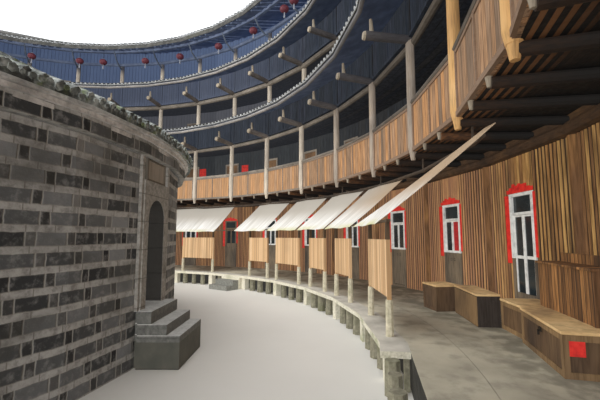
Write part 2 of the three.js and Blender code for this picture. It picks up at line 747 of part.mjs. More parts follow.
addMesh('stone_footing', footing(), COLOURS.rubble, 0.95);
addEarthWall();
addMesh('main_gate', mainGate(), COLOURS.stone);
addMesh('ground_floor', groundFloor(), COLOURS.concrete, 0.9);
addMesh('platform_edge', platformEdge(), COLOURS.stone, 0.9);
addKitchenWalls();
addMesh('kitchen_wall_beam', kitchenWallBeam(), COLOURS.darkWood);
TURNING_DOORS.forEach(({ bay, name }) => {
  addMesh(`${name}_frame`, doorFrame(bay), COLOURS.white, 0.5);
  addMesh(`${name}_leaf_left`, doorLeaf(bay, 1), COLOURS.white, 0.5);
  addMesh(`${name}_leaf_right`, doorLeaf(bay, -1), COLOURS.white, 0.5);
});
addMesh('floor_2', deck(FLOOR_2_Z, RIM_UNDER_Z), COLOURS.darkWood);
addMesh('floor_3', deck(FLOOR_3_Z, FLOOR_3_Z - DECK + GAP), COLOURS.darkWood);
addMesh('floor_4', deck(FLOOR_4_Z, FLOOR_4_Z - DECK + GAP), COLOURS.darkWood);
addMesh('balustrade_2', balustrade(RIM_UNDER_Z + GAP, FLOOR_2_Z + RAIL_HEIGHT), COLOURS.warmWood);
[[3, FLOOR_3_Z], [4, FLOOR_4_Z]].forEach(([storey, floor]) => {
  const boards = balustrade(floor - DECK + GAP, floor + UPPER_RAIL_HEIGHT);
  addMesh(`balustrade_${storey}`, boards, COLOURS.warmWood);
});
addMesh(
  'gallery_frame_2', join([galleryFrame(FLOOR_2_Z, FLOOR_3_Z), postFronts()]), COLOURS.greyWood,
);
addMesh('gallery_frame_3', galleryFrame(FLOOR_3_Z, FLOOR_4_Z), COLOURS.greyWood);
addMesh('gallery_frame_4', topGalleryFrame(), COLOURS.greyWood);
addMesh('room_wall_2', roomWall(FLOOR_2_Z, FLOOR_3_Z - DECK), COLOURS.darkWood);
addMesh('room_wall_3', roomWall(FLOOR_3_Z, FLOOR_4_Z - DECK), COLOURS.darkWood);
addMesh('room_wall_4', roomWall(FLOOR_4_Z, roofUnder(ROOM_WALL_R) - GAP), COLOURS.darkWood);
addMesh('pent_roof_3', pentRoof(PENT_3_Z), COLOURS.tile);
addMesh('pent_roof_4', pentRoof(PENT_4_Z), COLOURS.tile);
addMesh('main_roof_inner', mainRoofInner(), COLOURS.tile);
addMesh('main_roof_outer', mainRoofOuter(), COLOURS.tile);
addMesh('main_ridge', mainRidge(), COLOURS.tile);
addMesh('hall_wall', hallWall(), COLOURS.brick, 0.95);
addMesh('hall_doorway', hallDoorway(HALL_DOOR_BAYS[0]), COLOURS.stone);
addMesh('hall_front_doorway', hallDoorway(HALL_DOOR_BAYS[1]), COLOURS.stone);
addMesh('hall_floor', hallFloor(), COLOURS.stone, 0.9);
addMesh('hall_roof', hallRoof(), COLOURS.tile);
addMesh('hall_frame', hallFrame(), COLOURS.greyWood);
SIDES.forEach((side) => {
  addMesh(`awnings_${side.name}`, awnings(side.awnings), COLOURS.sheet, 0.6);
  addMesh(`edge_screens_${side.name}`, edgeFrame(side.screens), COLOURS.paleWood);
});
addMesh('bench_with_cupboard', benchWithCupboard(), COLOURS.greyWood);
addMesh('chest', chest(), COLOURS.greyWood);

export default tulou;
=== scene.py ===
"""A four storey tulou roundhouse of 34 bays, seen from its own ground gallery.

Lengths are in metres. A place is given by its distance from the middle of the court, its distance
across from the middle of its bay, and its height, all turned to the bay's angle.
"""
import math
import random

import bmesh
import bpy
from mathutils import Matrix, Vector


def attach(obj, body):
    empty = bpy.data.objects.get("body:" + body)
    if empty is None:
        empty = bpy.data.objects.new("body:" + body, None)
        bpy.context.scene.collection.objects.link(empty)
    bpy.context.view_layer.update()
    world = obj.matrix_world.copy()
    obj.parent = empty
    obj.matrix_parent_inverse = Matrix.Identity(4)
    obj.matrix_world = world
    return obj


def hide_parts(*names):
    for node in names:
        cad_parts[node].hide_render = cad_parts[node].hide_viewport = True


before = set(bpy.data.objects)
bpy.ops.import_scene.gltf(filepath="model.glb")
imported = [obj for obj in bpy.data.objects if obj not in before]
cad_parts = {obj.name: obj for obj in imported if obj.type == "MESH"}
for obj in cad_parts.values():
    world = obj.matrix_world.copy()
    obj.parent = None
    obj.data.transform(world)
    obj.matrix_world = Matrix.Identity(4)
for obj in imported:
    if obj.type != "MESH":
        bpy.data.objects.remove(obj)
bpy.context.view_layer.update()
chance = random.Random(34)

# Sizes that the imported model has

BAYS = 34
BAY = 360 / BAYS
HALF_BAY = math.radians(BAY / 2)
GATE_BAY = 17
DARK_BAY = 6
TURNING_BAYS = {0: "near_door", 1: "next_door"}
PLATFORM = 0.53
FLOORS = (3.95, 6.42, 8.89)
DECK = 0.08
RIM_UNDER = 3.83
RAIL_HEIGHTS = (0.95, 1.06, 1.06)
BOARDS_R = 11.97
POST_R = 12.06
ROOM_R = 13.6
ROOM_FACE = ROOM_R * math.cos(HALF_BAY)
EDGE_R = 10.75
EARTH_IN_R = 16.9
WALL_TOP = 3.53
DOOR_OFFSET = 0.09
DOOR_HEAD = 2.85
DOOR_HALF = 0.35
DOOR_FACE = ROOM_FACE - 0.02
FRAME_SIZE = 0.06
SILL_TOP = 0.59
TRANSOM = 2.45
WAIST = 1.66
LEAF_GAP = 0.006
JAMB_GAP = 0.01
MEETING_GAP = 0.012
LEAF_BACK = 0.06
LEAF_THICK = 0.038
UPPER_HEAD = 1.8
EAVE = (10.555, 11.44)
RIDGE_R = 15.3
OUTER_EAVE_R = 19.7
MAIN_SLOPE = 0.45
MAIN_THICK = 0.22
PENT_R = 10.81
PENT_SLOPE = 0.33
PENT_EDGES = (7.06, 9.55)
PENT_THICK = 0.07
HALL_R = 6.95
HALL_EAVE_R = 7.25
HALL_EAVE_Z = 3.8
HALL_SLOPE = 0.42
HALL_COURT_R = 3.0
HALL_FLOOR = 0.88
POLE_R = 10.95
AWNING_LOW = (10.78, 2.28)
AWNING_HIGH = (12.23, 3.5)
AWNING_HALF = 0.92
FAR_BAYS = (9, 10, 11, 12, 13, -6, -7, -8, -9, -11, -12, -13, -14)
AWNING_PLACES = (0.34, 1.38, 2.34, 3.32, 4.36, 5.9, 6.7, *FAR_BAYS)
LEDGERS = ((-0.71, 13.44), (-14.44, -5.56))
SCREEN_PLACES = (
    -0.33, 0.42, 1.1, 1.61, 1.97, 2.49, 2.83, 3.57, 3.84, 4.41, 5.53, 6.37,
    *(bay + side for bay in FAR_BAYS for side in (-0.3, 0.3)),
)
RIDGE_Z = EAVE[1] + MAIN_SLOPE * (RIDGE_R - EAVE[0])
OUTER_EAVE_Z = RIDGE_Z - MAIN_SLOPE * (OUTER_EAVE_R - RIDGE_R)
LANTERN_R = 11.3

# Places


def bay_angle(bay):
    return 90 + bay * BAY


def angles(per_bay, start=0.5):
    """Angles spread evenly round the ring, a number of them in each bay."""
    return [bay_angle((n + start) / per_bay - 0.5) for n in range(BAYS * per_bay)]


def turned(angle):
    return Matrix.Rotation(math.radians(angle), 4, "Z")


def here(angle, r, across, z):
    return turned(angle) @ Vector((r, across, z))


def about(middle, half):
    """The two limits at one distance from a middle."""
    return middle - half, middle + half


def aside(angle):
    """Cosine of the angle from the nearest bay's middle."""
    off = (angle - 90) / BAY
    return math.cos(math.radians((off - round(off)) * BAY))


def face(r, angle):
    """Distance from the middle to the flat face of a 34-sided ring with corners at r."""
    return r * math.cos(HALF_BAY) / aside(angle)


def main_under(r, angle):
    """Height of the main roof's underside on its inner slope."""
    corner = r * aside(angle) / math.cos(HALF_BAY)
    return EAVE[1] - MAIN_THICK + MAIN_SLOPE * (corner - EAVE[0])


# Shader expressions


class Value:
    """A shader socket that Python's operators work on."""

    def __init__(self, shader, socket):
        self.shader = shader
        self.socket = socket

    def maths(self, operation, *others):
        return self.shader.node("Math", [self, *others], operation=operation)

    def __add__(self, other):
        return self.maths("ADD", other)

    def __sub__(self, other):
        return self.maths("SUBTRACT", other)

    def __mul__(self, other):
        return self.maths("MULTIPLY", other)

    def __truediv__(self, other):
        return self.maths("DIVIDE", other)

    def __rsub__(self, other):
        return self.shader.node("Math", [other, self], operation="SUBTRACT")

    def __abs__(self):
        return self.maths("ABSOLUTE")

    def floor(self):
        return self.maths("FLOOR")

    def part(self):
        """What is left over the last whole number."""
        return self.maths("FRACT")

    def below(self, edge):
        return self.maths("LESS_THAN", edge)

    def above(self, edge):
        return self.maths("GREATER_THAN", edge)

    def span(self, low, high, to_low=0.0, to_high=1.0):
        """Goes smoothly from one number to another between two limits."""
        inputs = [self, low, high, to_low, to_high]
        return self.shader.node("MapRange", inputs, interpolation_type="SMOOTHSTEP")


def paint(code):
    """Linear colour of a six digit code."""
    parts = [int(code[i:i + 2], 16) / 255 for i in (0, 2, 4)]
    return (*[p / 12.92 if p <= 0.04045 else ((p + 0.055) / 1.055) ** 2.4 for p in parts], 1.0)


class Shader:
    """One material, with the places on the building that its patterns follow."""

    def __init__(self):
        self.material = bpy.data.materials.new("surface")
        self.material.use_nodes = True
        self.tree = self.material.node_tree
        self.surface = self.tree.nodes["Principled BSDF"]
        self.place = self.node("TexCoord", out="Object")
        self.x, self.y, self.z = [self.node("SeparateXYZ", [self.place], n) for n in range(3)]

    def fill(self, socket, value):
        if isinstance(value, Value):
            self.tree.links.new(value.socket, socket)
        else:
            socket.default_value = paint(value) if isinstance(value, str) else value

    def node(self, kind, inputs=(), out=0, **settings):
        """Adds a node. Its inputs are values, numbers or colour codes, in order or by key."""
        node = self.tree.nodes.new("ShaderNode" + kind)
        for key, value in settings.items():
            setattr(node, key, value)
        for key, value in inputs.items() if isinstance(inputs, dict) else enumerate(inputs):
            self.fill(node.inputs[key], value)
        return Value(self, node.outputs[out])

    def stretched(self, *scales):
        return self.node("VectorMath", [self.place, scales], operation="MULTIPLY")

    def turn(self):
        """Turns round the middle, from -0.5 to 0.5."""
        return self.y.maths("ARCTAN2", self.x) * (0.5 / math.pi)

    def distance(self):
        return (self.x * self.x + self.y * self.y).maths("SQRT")

    def noise(self, scale, detail=3.0, roughness=0.55, place=None):
        """Noise with one scale, or with one for each of x, y and z."""
        if isinstance(scale, tuple):
            place, scale = self.stretched(*scale), 1.0
        inputs = {"Vector": place or self.place, "Scale": scale, "Detail": detail, "Roughness": roughness}
        return self.node("TexNoise", inputs)

    def lot(self, number):
        """A steady number from 0 to 1 for each whole number."""
        return self.node("TexWhiteNoise", {"W": number}, noise_dimensions="1D")

    def mix(self, factor, a, b, blend="MIX"):
        return self.node("Mix", {0: factor, 6: a, 7: b}, 2, data_type="RGBA", blend_type=blend)

    def tones(self, value, stops):
        """Colour by value: three codes at 0.3, 0.5 and 0.7, or codes after their places in percent."""
        ramp = self.node("ValToRGB", [value])
        pairs = [stop.split(":") for stop in stops.split()]
        if len(pairs[0]) == 1:
            pairs = zip((30, 50, 70), stops.split())
        first, *rest, last = [(int(place) / 100, paint(code)) for place, code in pairs]
        elements = ramp.socket.node.color_ramp.elements
        elements[0].position, elements[0].color = first
        elements[1].position, elements[1].color = last
        for place, colour in rest:
            elements.new(place).color = colour
        return ramp

    def finish(self, colour, roughness, height, depth, **constants):
        bump = self.node("Bump", {"Height": height, "Distance": depth, "Strength": 1.0})
        inputs = {"Base Color": colour, "Roughness": roughness, "Normal": bump, **constants}
        for key, value in inputs.items():
            self.fill(self.surface.inputs[key], value)
        return self.material


# Wood


def boards(count, tones, stain, outwards=False, wear=0.35, gap=0.05, painted_light=None, lit=None):
    """Boards side by side round the building: count of them in a whole turn, or in a metre outwards.

    The boards may have painted light, a paler colour on the side away from the turning doors: that colour,
    its share, and the places along x where it starts and is full. Painted light may also reach every second
    one near
    the rim: its colour.
    """
    s = Shader()
    along = (s.distance() if outwards else s.turn()) * count
    fibre = s.noise((34 / 3, 34 / 3, 34) if outwards else (34, 34, 34 / 14), 4)
    streak = s.noise((1.2, 1.2, 1.2) if outwards else (6, 6, 0.35))
    board = along.floor()
    joint = abs(along.part() - 0.5).span(0.5 - gap, 0.5)
    base = s.tones(s.lot(board), tones)
    grained = s.mix(fibre.span(0.35, 0.7, 0, 0.55), base, s.mix(1.0, base, stain, "MULTIPLY"))
    colour = s.mix(streak.span(0.48, 0.68, 0, wear), grained, stain)
    # Painted light: a paler colour mixed in along x, full on the side away from the turning doors.
    if painted_light:
        code, share, start, full = painted_light
        colour = s.mix(s.x.span(full, start, share, 0), colour, code)
    # Painted light on every second board near the rim.
    if lit:
        second = (board * 0.5).part().above(0.25)
        colour = s.mix(s.distance().span(12.1, 12.7, 1, 0) * second, colour, lit)
    height = fibre * 0.25 - joint + s.lot(board + 0.5) * 0.4
    return s.finish(s.mix(joint * 0.9, colour, "15100c"), fibre.span(0.3, 0.7, 0.68, 0.9), height, 0.012)


def screen_slats():
    """Thin pale slats of the edge screens, under a dark pole."""
    s = Shader()
    along = s.turn() * 34 * 34
    joint = abs(along.part() - 0.5).span(0.42, 0.5)
    fibre = s.noise((34, 34, 2.4), 4)
    patch = s.noise((1.6, 1.6, 1.0))
    slats = s.tones(s.lot(along.floor()), "0:ae8c65 50:caa479 100:dfbf97")
    worn = s.mix(patch.span(0.45, 0.7, 0, 0.35), slats, "a48a6a")
    lined = s.mix(joint * 0.7, worn, "6b5136")
    frame_wood = s.mix(fibre.span(0.4, 0.7), "55432f", "3a2d20")
    return s.finish(s.mix(s.z.above(2.011), lined, frame_wood), 0.85, fibre * 0.3 - joint, 0.008)


def joist():
    """Joists of the second floor, with warm painted light on their outer ends and near black painted shade
    further in.
    """
    s = Shader()
    fibre = s.noise((9, 9, 30), 4)
    each = s.lot((s.turn() * BAYS * 3 + 0.5).floor())
    # Painted light, warm, on the joists' outer ends; painted shade, near black, further in.
    lit = s.distance().span(12.0, 12.9, 1, 0) * each.span(0.35, 0.8, 0.15, 1)
    wood = s.mix(lit, "0e0b09", s.mix(fibre.span(0.35, 0.65), "6f4a2b", "422c1b"))
    return s.finish(wood, 0.85, fibre, 0.006)


def timber(tones, stain, level=False, wear=0.4, near=None):
    """Posts, rails and logs, with a darker colour of painted shade and its share for the side of the turning
    doors if given.
    """
    s = Shader()
    fibre = s.noise((7.5, 7.5, 30) if level else (30, 30, 2.5), 4)
    colour = s.mix(fibre.span(0.42, 0.7, 0, wear), s.tones(s.noise((1.3, 1.3, 0.9)), tones), stain)
    # Painted shade: a darker colour mixed in on the side of the turning doors.
    if near:
        code, share = near
        colour = s.mix(s.x.span(-10, -3, 0, share), colour, code)
    return s.finish(colour, fibre.span(0.3, 0.7, 0.65, 0.88), fibre, 0.006)


def gallery_post():
    """Weathered posts: golden where they were renewed near the turning doors, paler with painted light far
    off, in painted shade under the top eave.
    """
    s = Shader()
    fibre = s.noise((30, 30, 2.5), 4)
    patch = s.noise((1.3, 1.3, 0.9))
    each = s.lot((s.turn() * BAYS + 0.5).floor())
    near = s.tones(patch, "857c73 a09488 b5a48f")
    pale = s.tones(patch, "b9aea0 d3c8b8 dccfbb")
    # Paler on the far side: painted light.
    weathered = s.mix((s.x + each * 3.0).span(-6.2, -3.5, 1, 0), near, pale)
    golden = s.tones(patch, "b78a56 d0a469 dcb57f")
    renewed = s.turn().above(0.19) * s.turn().below(0.25) * s.z.below(6.4)
    wood = s.mix(fibre.span(0.42, 0.7, 0, 0.4), s.mix(renewed, weathered, golden), "6b5a44")
    # Painted shade, dark blue, at the tops of the posts under the top eave.
    colour = s.mix(s.z.span(10.5, 10.95, 0, 0.85), wood, "333d52")
    return s.finish(colour, fibre.span(0.3, 0.7, 0.65, 0.88), fibre, 0.006)


# Stone, brick, earth, tile


def hall_brick():
    """Big grey bricks on edge with headers between them, and flat pale courses."""
    s = Shader()
    ragged = s.noise((7, 7, 7)) - 0.5
    rise = (s.z - 1.87 + ragged * 0.03) / 0.242
    row = rise.floor()
    up = rise.part()
    flat_row = up.below(0.33)
    along = (s.turn() + ragged * 0.0008) * 88 + s.lot(row) * 3.0
    brick = along.floor()
    part = along.part()
    header = part.above(0.76)
    joint = part.span(0.0, 0.035, 1, 0) + part.span(0.965, 1.0) + abs(part - 0.76).span(0.0, 0.04, 1, 0)
    level = abs(up - 0.33).span(0.0, 0.06, 1, 0) + up.span(0.95, 1.0)
    grain = s.noise((9, 9, 9), 5, 0.65)
    dirt = s.noise((0.9, 0.9, 1.6), 4)
    pick = s.lot(brick + row * 17.0)
    stretcher = s.tones(pick, "0:343638 35:565859 70:727476 100:8e9091")
    slot = s.tones(s.lot(brick * 3.0 + row), "0:1c1c1d 45:434343 100:838280")
    low_rows = s.z.span(1.5, 2.7, 0.5, 0) * s.lot(brick * 5.0 + row).span(0.15, 0.6)
    sooty = s.mix(low_rows, s.mix(header, stretcher, slot), "1b1c1f")
    speckled = s.mix(grain.span(0.5, 0.7, 0, 0.35), sooty, "85868a")
    flat_part = (s.turn() * 130 + s.lot(row + 0.3) * 5.0).part().span(0.0, 0.06, 1, 0)
    flats = s.mix(flat_part, s.tones(grain, "777572 a5a4a1 c4c3c1"), "6c6860")
    rows = s.mix(flat_row, s.mix(joint, speckled, "a3a19c"), flats)
    lined = s.mix(level * 0.55, rows, "97948d")
    smeared = s.mix(grain.span(0.45, 0.75, 0, 0.45), lined, "8f8e8b")
    colour = s.mix(dirt.span(0.46, 0.72, 0, 0.6), smeared, "45443f")
    standing = 1 - flat_row
    relief = joint * standing * 0.3 + header * standing * 0.9
    return s.finish(colour, 0.9, flat_row * 0.35 + grain * 0.5 - relief + pick * 0.3, 0.03)


def worn_stone(tones, moss="5d6048", moss_share=0.35):
    s = Shader()
    grain = s.noise(14.0, 5, 0.65)
    colour = s.mix(s.noise(1.7).span(0.5, 0.72, 0, moss_share), s.tones(grain, tones), moss)
    return s.finish(colour, grain.span(0.3, 0.7, 0.75, 0.95), grain, 0.012)


def doorway_stone():
    """Dressed stones of a hall doorway, with painted shade inside the arch, over grey steps."""
    s = Shader()
    grain = s.noise(14.0, 5, 0.65)
    patch = s.noise(1.7)
    jointed = (s.z / 0.46).part().span(0.0, 0.04, 1, 0)
    aged = s.mix(patch.span(0.5, 0.72, 0, 0.5), s.tones(grain, "73706b 918e88 a7a4a0"), "4f4b43")
    blocks = s.mix(jointed * 0.7, aged, "423e37")
    # Painted shade: the stone inside the arch is made near black.
    inside = abs(s.y).below(6.985) * abs(s.x).below(0.36) * s.z.above(0.885)
    stone_with_arch_shade = s.mix(inside * 0.95, blocks, "1d1b18")
    tread = s.z.above(0.505) * s.z.below(0.515) + s.z.above(0.675) * s.z.below(0.685) + s.z.above(0.875)
    riser = s.tones(grain, "4d4e4c 656663 787975")
    footing = s.mix(s.z.below(0.41) * 0.8, riser, s.tones(patch, "35:3f4139 65:5c5a50"))
    step = s.mix(tread, footing, s.tones(grain, "a3a4a2 c0c1bf d0d1ce"))
    colour = s.mix(s.z.below(0.885), stone_with_arch_shade, step)
    return s.finish(colour, grain.span(0.3, 0.7, 0.75, 0.95), grain * 0.6 - jointed, 0.012)


def rubble():
    s = Shader()
    cells = {"Vector": s.stretched(1, 1, 1.35), "Scale": 3.2}
    edge = s.node("TexVoronoi", cells, feature="DISTANCE_TO_EDGE")
    tone = s.node("SeparateXYZ", [s.node("TexVoronoi", cells, "Color")])
    grain = s.noise(12.0, 4)
    stones = s.tones(tone, "0:5b574d 50:837d6e 100:a39b88")
    dirty = s.mix(grain.span(0.4, 0.7, 0, 0.4), stones, "4c4a40")
    colour = s.mix(edge.span(0.0, 0.07, 1, 0), dirty, "b3aa95")
    return s.finish(colour, 0.92, edge.span(0.0, 0.14) + grain * 0.3, 0.05)


def rammed_earth():
    """Lifts of earth with faint level joints, rain stains and a pale dry face."""
    s = Shader()
    grain = s.noise(9.0, 5, 0.7)
    patch = s.noise((0.35, 0.35, 0.5), 4)
    rain = s.noise((1.6, 1.6, 0.12), 4)
    bend = s.noise((0.4, 0.4, 0.4), 2) * 0.15
    lift = ((s.z + bend) / 0.42).part().span(0.0, 0.07, 1, 0)
    stained = s.mix(rain.span(0.5, 0.7, 0, 0.5), s.tones(patch, "8c7049 a3875c b59a74"), "705838")
    colour = s.mix(grain.span(0.45, 0.75, 0, 0.35), stained, "c0ac8a")
    return s.finish(s.mix(lift * 0.4, colour, "68523a"), 0.95, grain - lift * 0.7, 0.025)


def concrete():
    """The gallery's cement floor, with painted shade under the second floor and on its edge under the slab.
    """
    s = Shader()
    grain = s.noise(30.0, 4, 0.7)
    wear = s.noise(3.1, 4)
    bay_seam = (s.turn() * BAYS).part().span(0.0, 0.004, 1, 0)
    seam = bay_seam + abs(s.distance() - 11.8).span(0.004, 0.01, 0.6, 0)
    base = s.tones(s.noise(0.9, 4), "30:928d7e 50:ada795 72:c3bda9")
    worn = s.mix(wear.span(0.48, 0.7, 0, 0.45), base, "6b665c")
    # Painted shade on the floor under the second floor's deck, broken up by the wear noise.
    under_gallery_shade = s.mix(s.distance().span(11.9, 12.5, 0, 0.55) * wear.span(0.35, 0.55), worn, "625e51")
    lined = s.mix(seam.maths("MINIMUM", 1.0) * 0.6, under_gallery_shade, "4a4844")
    # Painted shade on the edge under the slab.
    colour = s.mix(s.z.below(0.515), lined, "1c1b18")
    return s.finish(colour, wear.span(0.3, 0.7, 0.55, 0.85), grain - seam, 0.004)


def platform():
    """Stone slab and posts of the platform's edge, paler with painted light on the far side, with cement laid
    over the top.
    """
    s = Shader()
    grain = s.noise(22.0, 5, 0.65)
    patch = s.noise(2.3, 4)
    mossy = s.mix(patch.span(0.5, 0.7, 0, 0.6), s.tones(grain, "aeab9a cdcab9 e0ddd0"), "7b8259")
    # Painted light: paler on the far side.
    stone = s.mix(s.x.span(-9, -3, 0.4, 0), mossy, "e0dac8")
    top = s.tones(patch, "30:9d9a90 50:b6b2a8 72:cac6bb")
    step = s.tones(grain, "5f605b 7b7c76 93948d")
    edge = s.mix(s.z.above(0.529), stone, top)
    return s.finish(s.mix(s.distance().below(10.69), edge, step), 0.9, grain, 0.006)


def tiles(tones, moss, moss_share, patches=1.1, mottle=5.0):
    """Clay tiles in laps down the slope, with a dark band of painted shade at each lap."""
    s = Shader()
    lap = (s.distance() / 0.19).part()
    grain = s.noise(16.0, 4)
    mossy = s.mix(s.noise(patches, 4).span(0.5, 0.7, 0, moss_share), s.tones(s.noise(mottle, 2), tones), moss)
    # Painted shade: a dark band at each lap.
    colour = s.mix(lap.span(0.0, 0.12, 0.7, 0), mossy, "191917")
    return s.finish(colour, grain.span(0.3, 0.7, 0.7, 0.92), lap + grain * 0.3, 0.03)


def plain(tones, scale=8.0, roughness=0.6, depth=0.002, **constants):
    """A painted, papered or metal surface with faint patches."""
    s = Shader()
    patch = s.noise(scale, 4)
    return s.finish(s.tones(patch, tones), roughness, patch, depth, **constants)


def roof_underside():
    """Old boards and rafters under the eaves in dark blue painted shade, paler with painted light on the side
    away from the turning doors.
    """
    s = Shader()
    patch = s.noise(3.0, 4)
    # Painted shade of dark blue, paler with painted light on the far side.
    near = s.tones(patch, "3d4a66 4c5b79 5a698a")
    far = s.tones(patch, "5f6d8b 707f9d 8392b0")
    return s.finish(s.mix(s.x.span(-9, 0, 1, 0), near, far), 0.8, patch, 0.002)


def awning_sheet():
    """Pale sheet with fine streaks down its slope and a yellow green lower edge."""
    s = Shader()
    streak = s.noise(1.0, 4, place=s.node("CombineXYZ", [s.turn() * 900.0, s.z * 0.9]))
    base = s.tones(streak, "bab8b2 d8d7d3 f1f0ee")
    tan = s.mix(s.x.span(-4.5, -1.5), "a8a298", "a58b6c")
    high = s.mix(s.z.span(2.4, 3.05, 0, 0.92), base, tan)
    low = s.z.span(2.27, 2.42, 0.75, 0) * s.noise(1.6, 4).span(0.35, 0.6)
    return s.finish(s.mix(low, high, "c2c184"), streak.span(0.3, 0.7, 0.45, 0.7), streak, 0.004)


FINISH = {
    # Paler with painted light on the far side.
    "balustrade": boards(34 * 16, "0:8c7561 40:b28a65 70:ca9562 100:a48a73", "5a4d41", wear=0.45,
                         painted_light=("cf9f70", 0.4, -5, -11)),
    # Boards of the two upper balustrades: dark blue painted shade, paler with painted light on the far side.
    "shaded": boards(34 * 16, "0:1f2937 50:273344 100:2f3748", "161d29", wear=0.5,
                     painted_light=("424f63", 0.4, -8, -12)),
    "high_shaded": boards(34 * 16, "0:2f3b4c 50:394559 100:454e61", "232c3b", wear=0.5,
                          painted_light=("6b7793", 0.6, -6, -12)),
    "kitchen": boards(34 * 28, "0:3a2615 50:4d331d 100:5c3f25", "20150c", wear=0.6, gap=0.09),
    # Cover strips: paler with painted light past the turning doors.
    "strip": boards(34 * 28, "0:7c5630 35:a67a42 70:c49b5c 100:8c6236", "3c2715", wear=0.7, gap=0.02,
                    painted_light=("c59474", 0.45, 0.5, -2.5)),
    # Room walls behind the galleries: dark blue painted shade, paler with painted light on the far side.
    "shaded_rooms": boards(34 * 14, "0:171c26 50:232a33 100:2f2f31", "10131b", wear=0.5,
                    painted_light=("3c4349", 0.5, -4, -11)),
    "shaded_high_rooms": boards(34 * 14, "0:1c2230 50:2a303e 100:393a3f", "12161f", wear=0.5,
                         painted_light=("6c707c", 0.6, -4, -11)),
    "shaded_top_rooms": boards(34 * 14, "0:3d4b66 50:4b5a77 100:58667f", "2f3b51", wear=0.5,
                        painted_light=("6f86b0", 0.7, -2, -10)),
    # Gallery floors seen from below: painted shade, near black on the second floor and dark blue above, paler
    # with painted light on the far side of the upper two; on the second floor, painted light on every second
    # board near the rim.
    "floor": boards(18, "0:0a0908 50:100d0c 100:19140f", "070605", True, lit="7a5434"),
    "shaded_high_floor": boards(5.5, "0:343b49 50:40454f 100:4b4a4a", "20252e", True,
                         painted_light=("68707f", 0.6, -4, -10)),
    "screen": screen_slats(),
    "beam": timber("30:281b11 55:442f1b 75:604527", "150e09", True),
    # Posts: painted light on the far side and painted shade under the top eave.
    "post": gallery_post(),
    "kitchen_post": timber("573a20 7a5530 9a703f", "2e1e11", wear=0.6),
    # Rail, front rail, arm and knob: a darker colour of painted shade on the side of the turning doors.
    "rail": timber("30:716a61 50:958c81 75:b3a99b", "4b463f", True, near=("463f38", 0.8)),
    "front_rail": timber("30:625a52 50:81786e 75:9b9185", "423c36", True, near=("7d6048", 0.7)),
    "arm": timber("30:5a534e 50:776f69 75:938b84", "3b3633", True, near=("33353e", 0.75)),
    "brace": timber("30:596373 50:707c8e 75:8a95a6", "3d4655", True),
    "knob": timber("877c6c a89b87 bfb29d", "665c4e", near=("7b7469", 0.5)),
    "dark_wood": timber("30:17181c 60:25231f 80:322a22", "0e0f12", True),
    "door_wood": timber("4a4239 655a4c 7a6c59", "2d2822"),
    "upper_door": timber("5a4330 7a5c40 94704c", "2f2820", wear=0.6),
    "chest": timber("30:a98c64 50:d0ae7b 72:e6c895", "6f563c", True),
    "chest_dark": timber("30:1f1814 60:2c231c", "120e0b"),
    "chest_front": timber("30:3c2d20 50:55402b 72:695136", "231a13"),
    "chest_rail": timber("30:5d4932 50:7a6142 72:90744f", "35291c"),
    "cupboard": boards(870, "0:5c3d20 50:8c6238 100:b5824c", "322114", wear=0.6, gap=0.12),
    "plaque": timber("81786e 978e83 a69d92", "635c54"),
    "plaque_frame": timber("4b463f 655e53 7b7366", "38332c"),
    "ledger": timber("30:2c241c 60:4a3c2e 80:6a5843", "17120e", True),
    "brick": hall_brick(),
    "cornice": worn_stone("9b9896 c1bebb d8d5d2", "676560", 0.5),
    "stone": worn_stone("6f6d63 8d8a7d a5a193"),
    # Doorway stones: painted shade inside the arch.
    "portal": doorway_stone(),
    "edge_stone": worn_stone("646253 7e7b69 969382", "585f3b", 0.5),
    "stub": worn_stone("a09a84 bfb9a2 d3cdb8", "7c7f5a", 0.4),
    "rubble": rubble(),
    "earth": rammed_earth(),
    # Cement floor: painted shade under the second floor and on the edge under the slab.
    "cement": concrete(),
    # Platform edge: painted light on the far side.
    "platform": platform(),
    # Roof tiles: a band of painted shade at each lap.
    "tile": tiles("2e2e2d 434341 5b5a56", "4b4d3c", 0.4),
    "mossy_tile": tiles("353836 646967 a7aca9", "5d6c38", 0.75, 5.0, 11.0),
    "tile_end": plain("77797b a5a8ab c5c7c9", 6.0, 0.8),
    # Under the roofs: dark blue painted shade, paler with painted light on the far side.
    "roof_shade": roof_underside(),
    # Joists: painted light on their outer ends, painted shade further in.
    "joist": joist(),
    # Edge logs: a darker colour of painted shade on the side of the turning doors.
    "pent_log": timber("7d7a77 9b9793 b5b0ab", "5d5955", True, near=("5b5c61", 0.7)),
    "sheet": awning_sheet(),
    "white": plain("b9bcbc dcdedd e8e9e8", 9.0, 0.45),
    "red": plain("b3160f d9231a e63a2c", 10.0, 0.7),
    "curtain": plain("30:8d1a1c 70:c22b2d", 25.0, 0.9),
    "glass": plain("30:1d2326 70:30383b", 2.0, 0.08, 0.0, IOR=1.5),
    "iron": plain("30:24211e 70:3d3833", 30.0, 0.5, 0.001, Metallic=0.8),
    "lantern": plain("30:6c313d 70:84404c", 12.0, 0.6),
    "tassel": plain("30:8d93a3 70:b9bcc4", 40.0, 0.8),
}
for key, material in FINISH.items():
    material.name = key

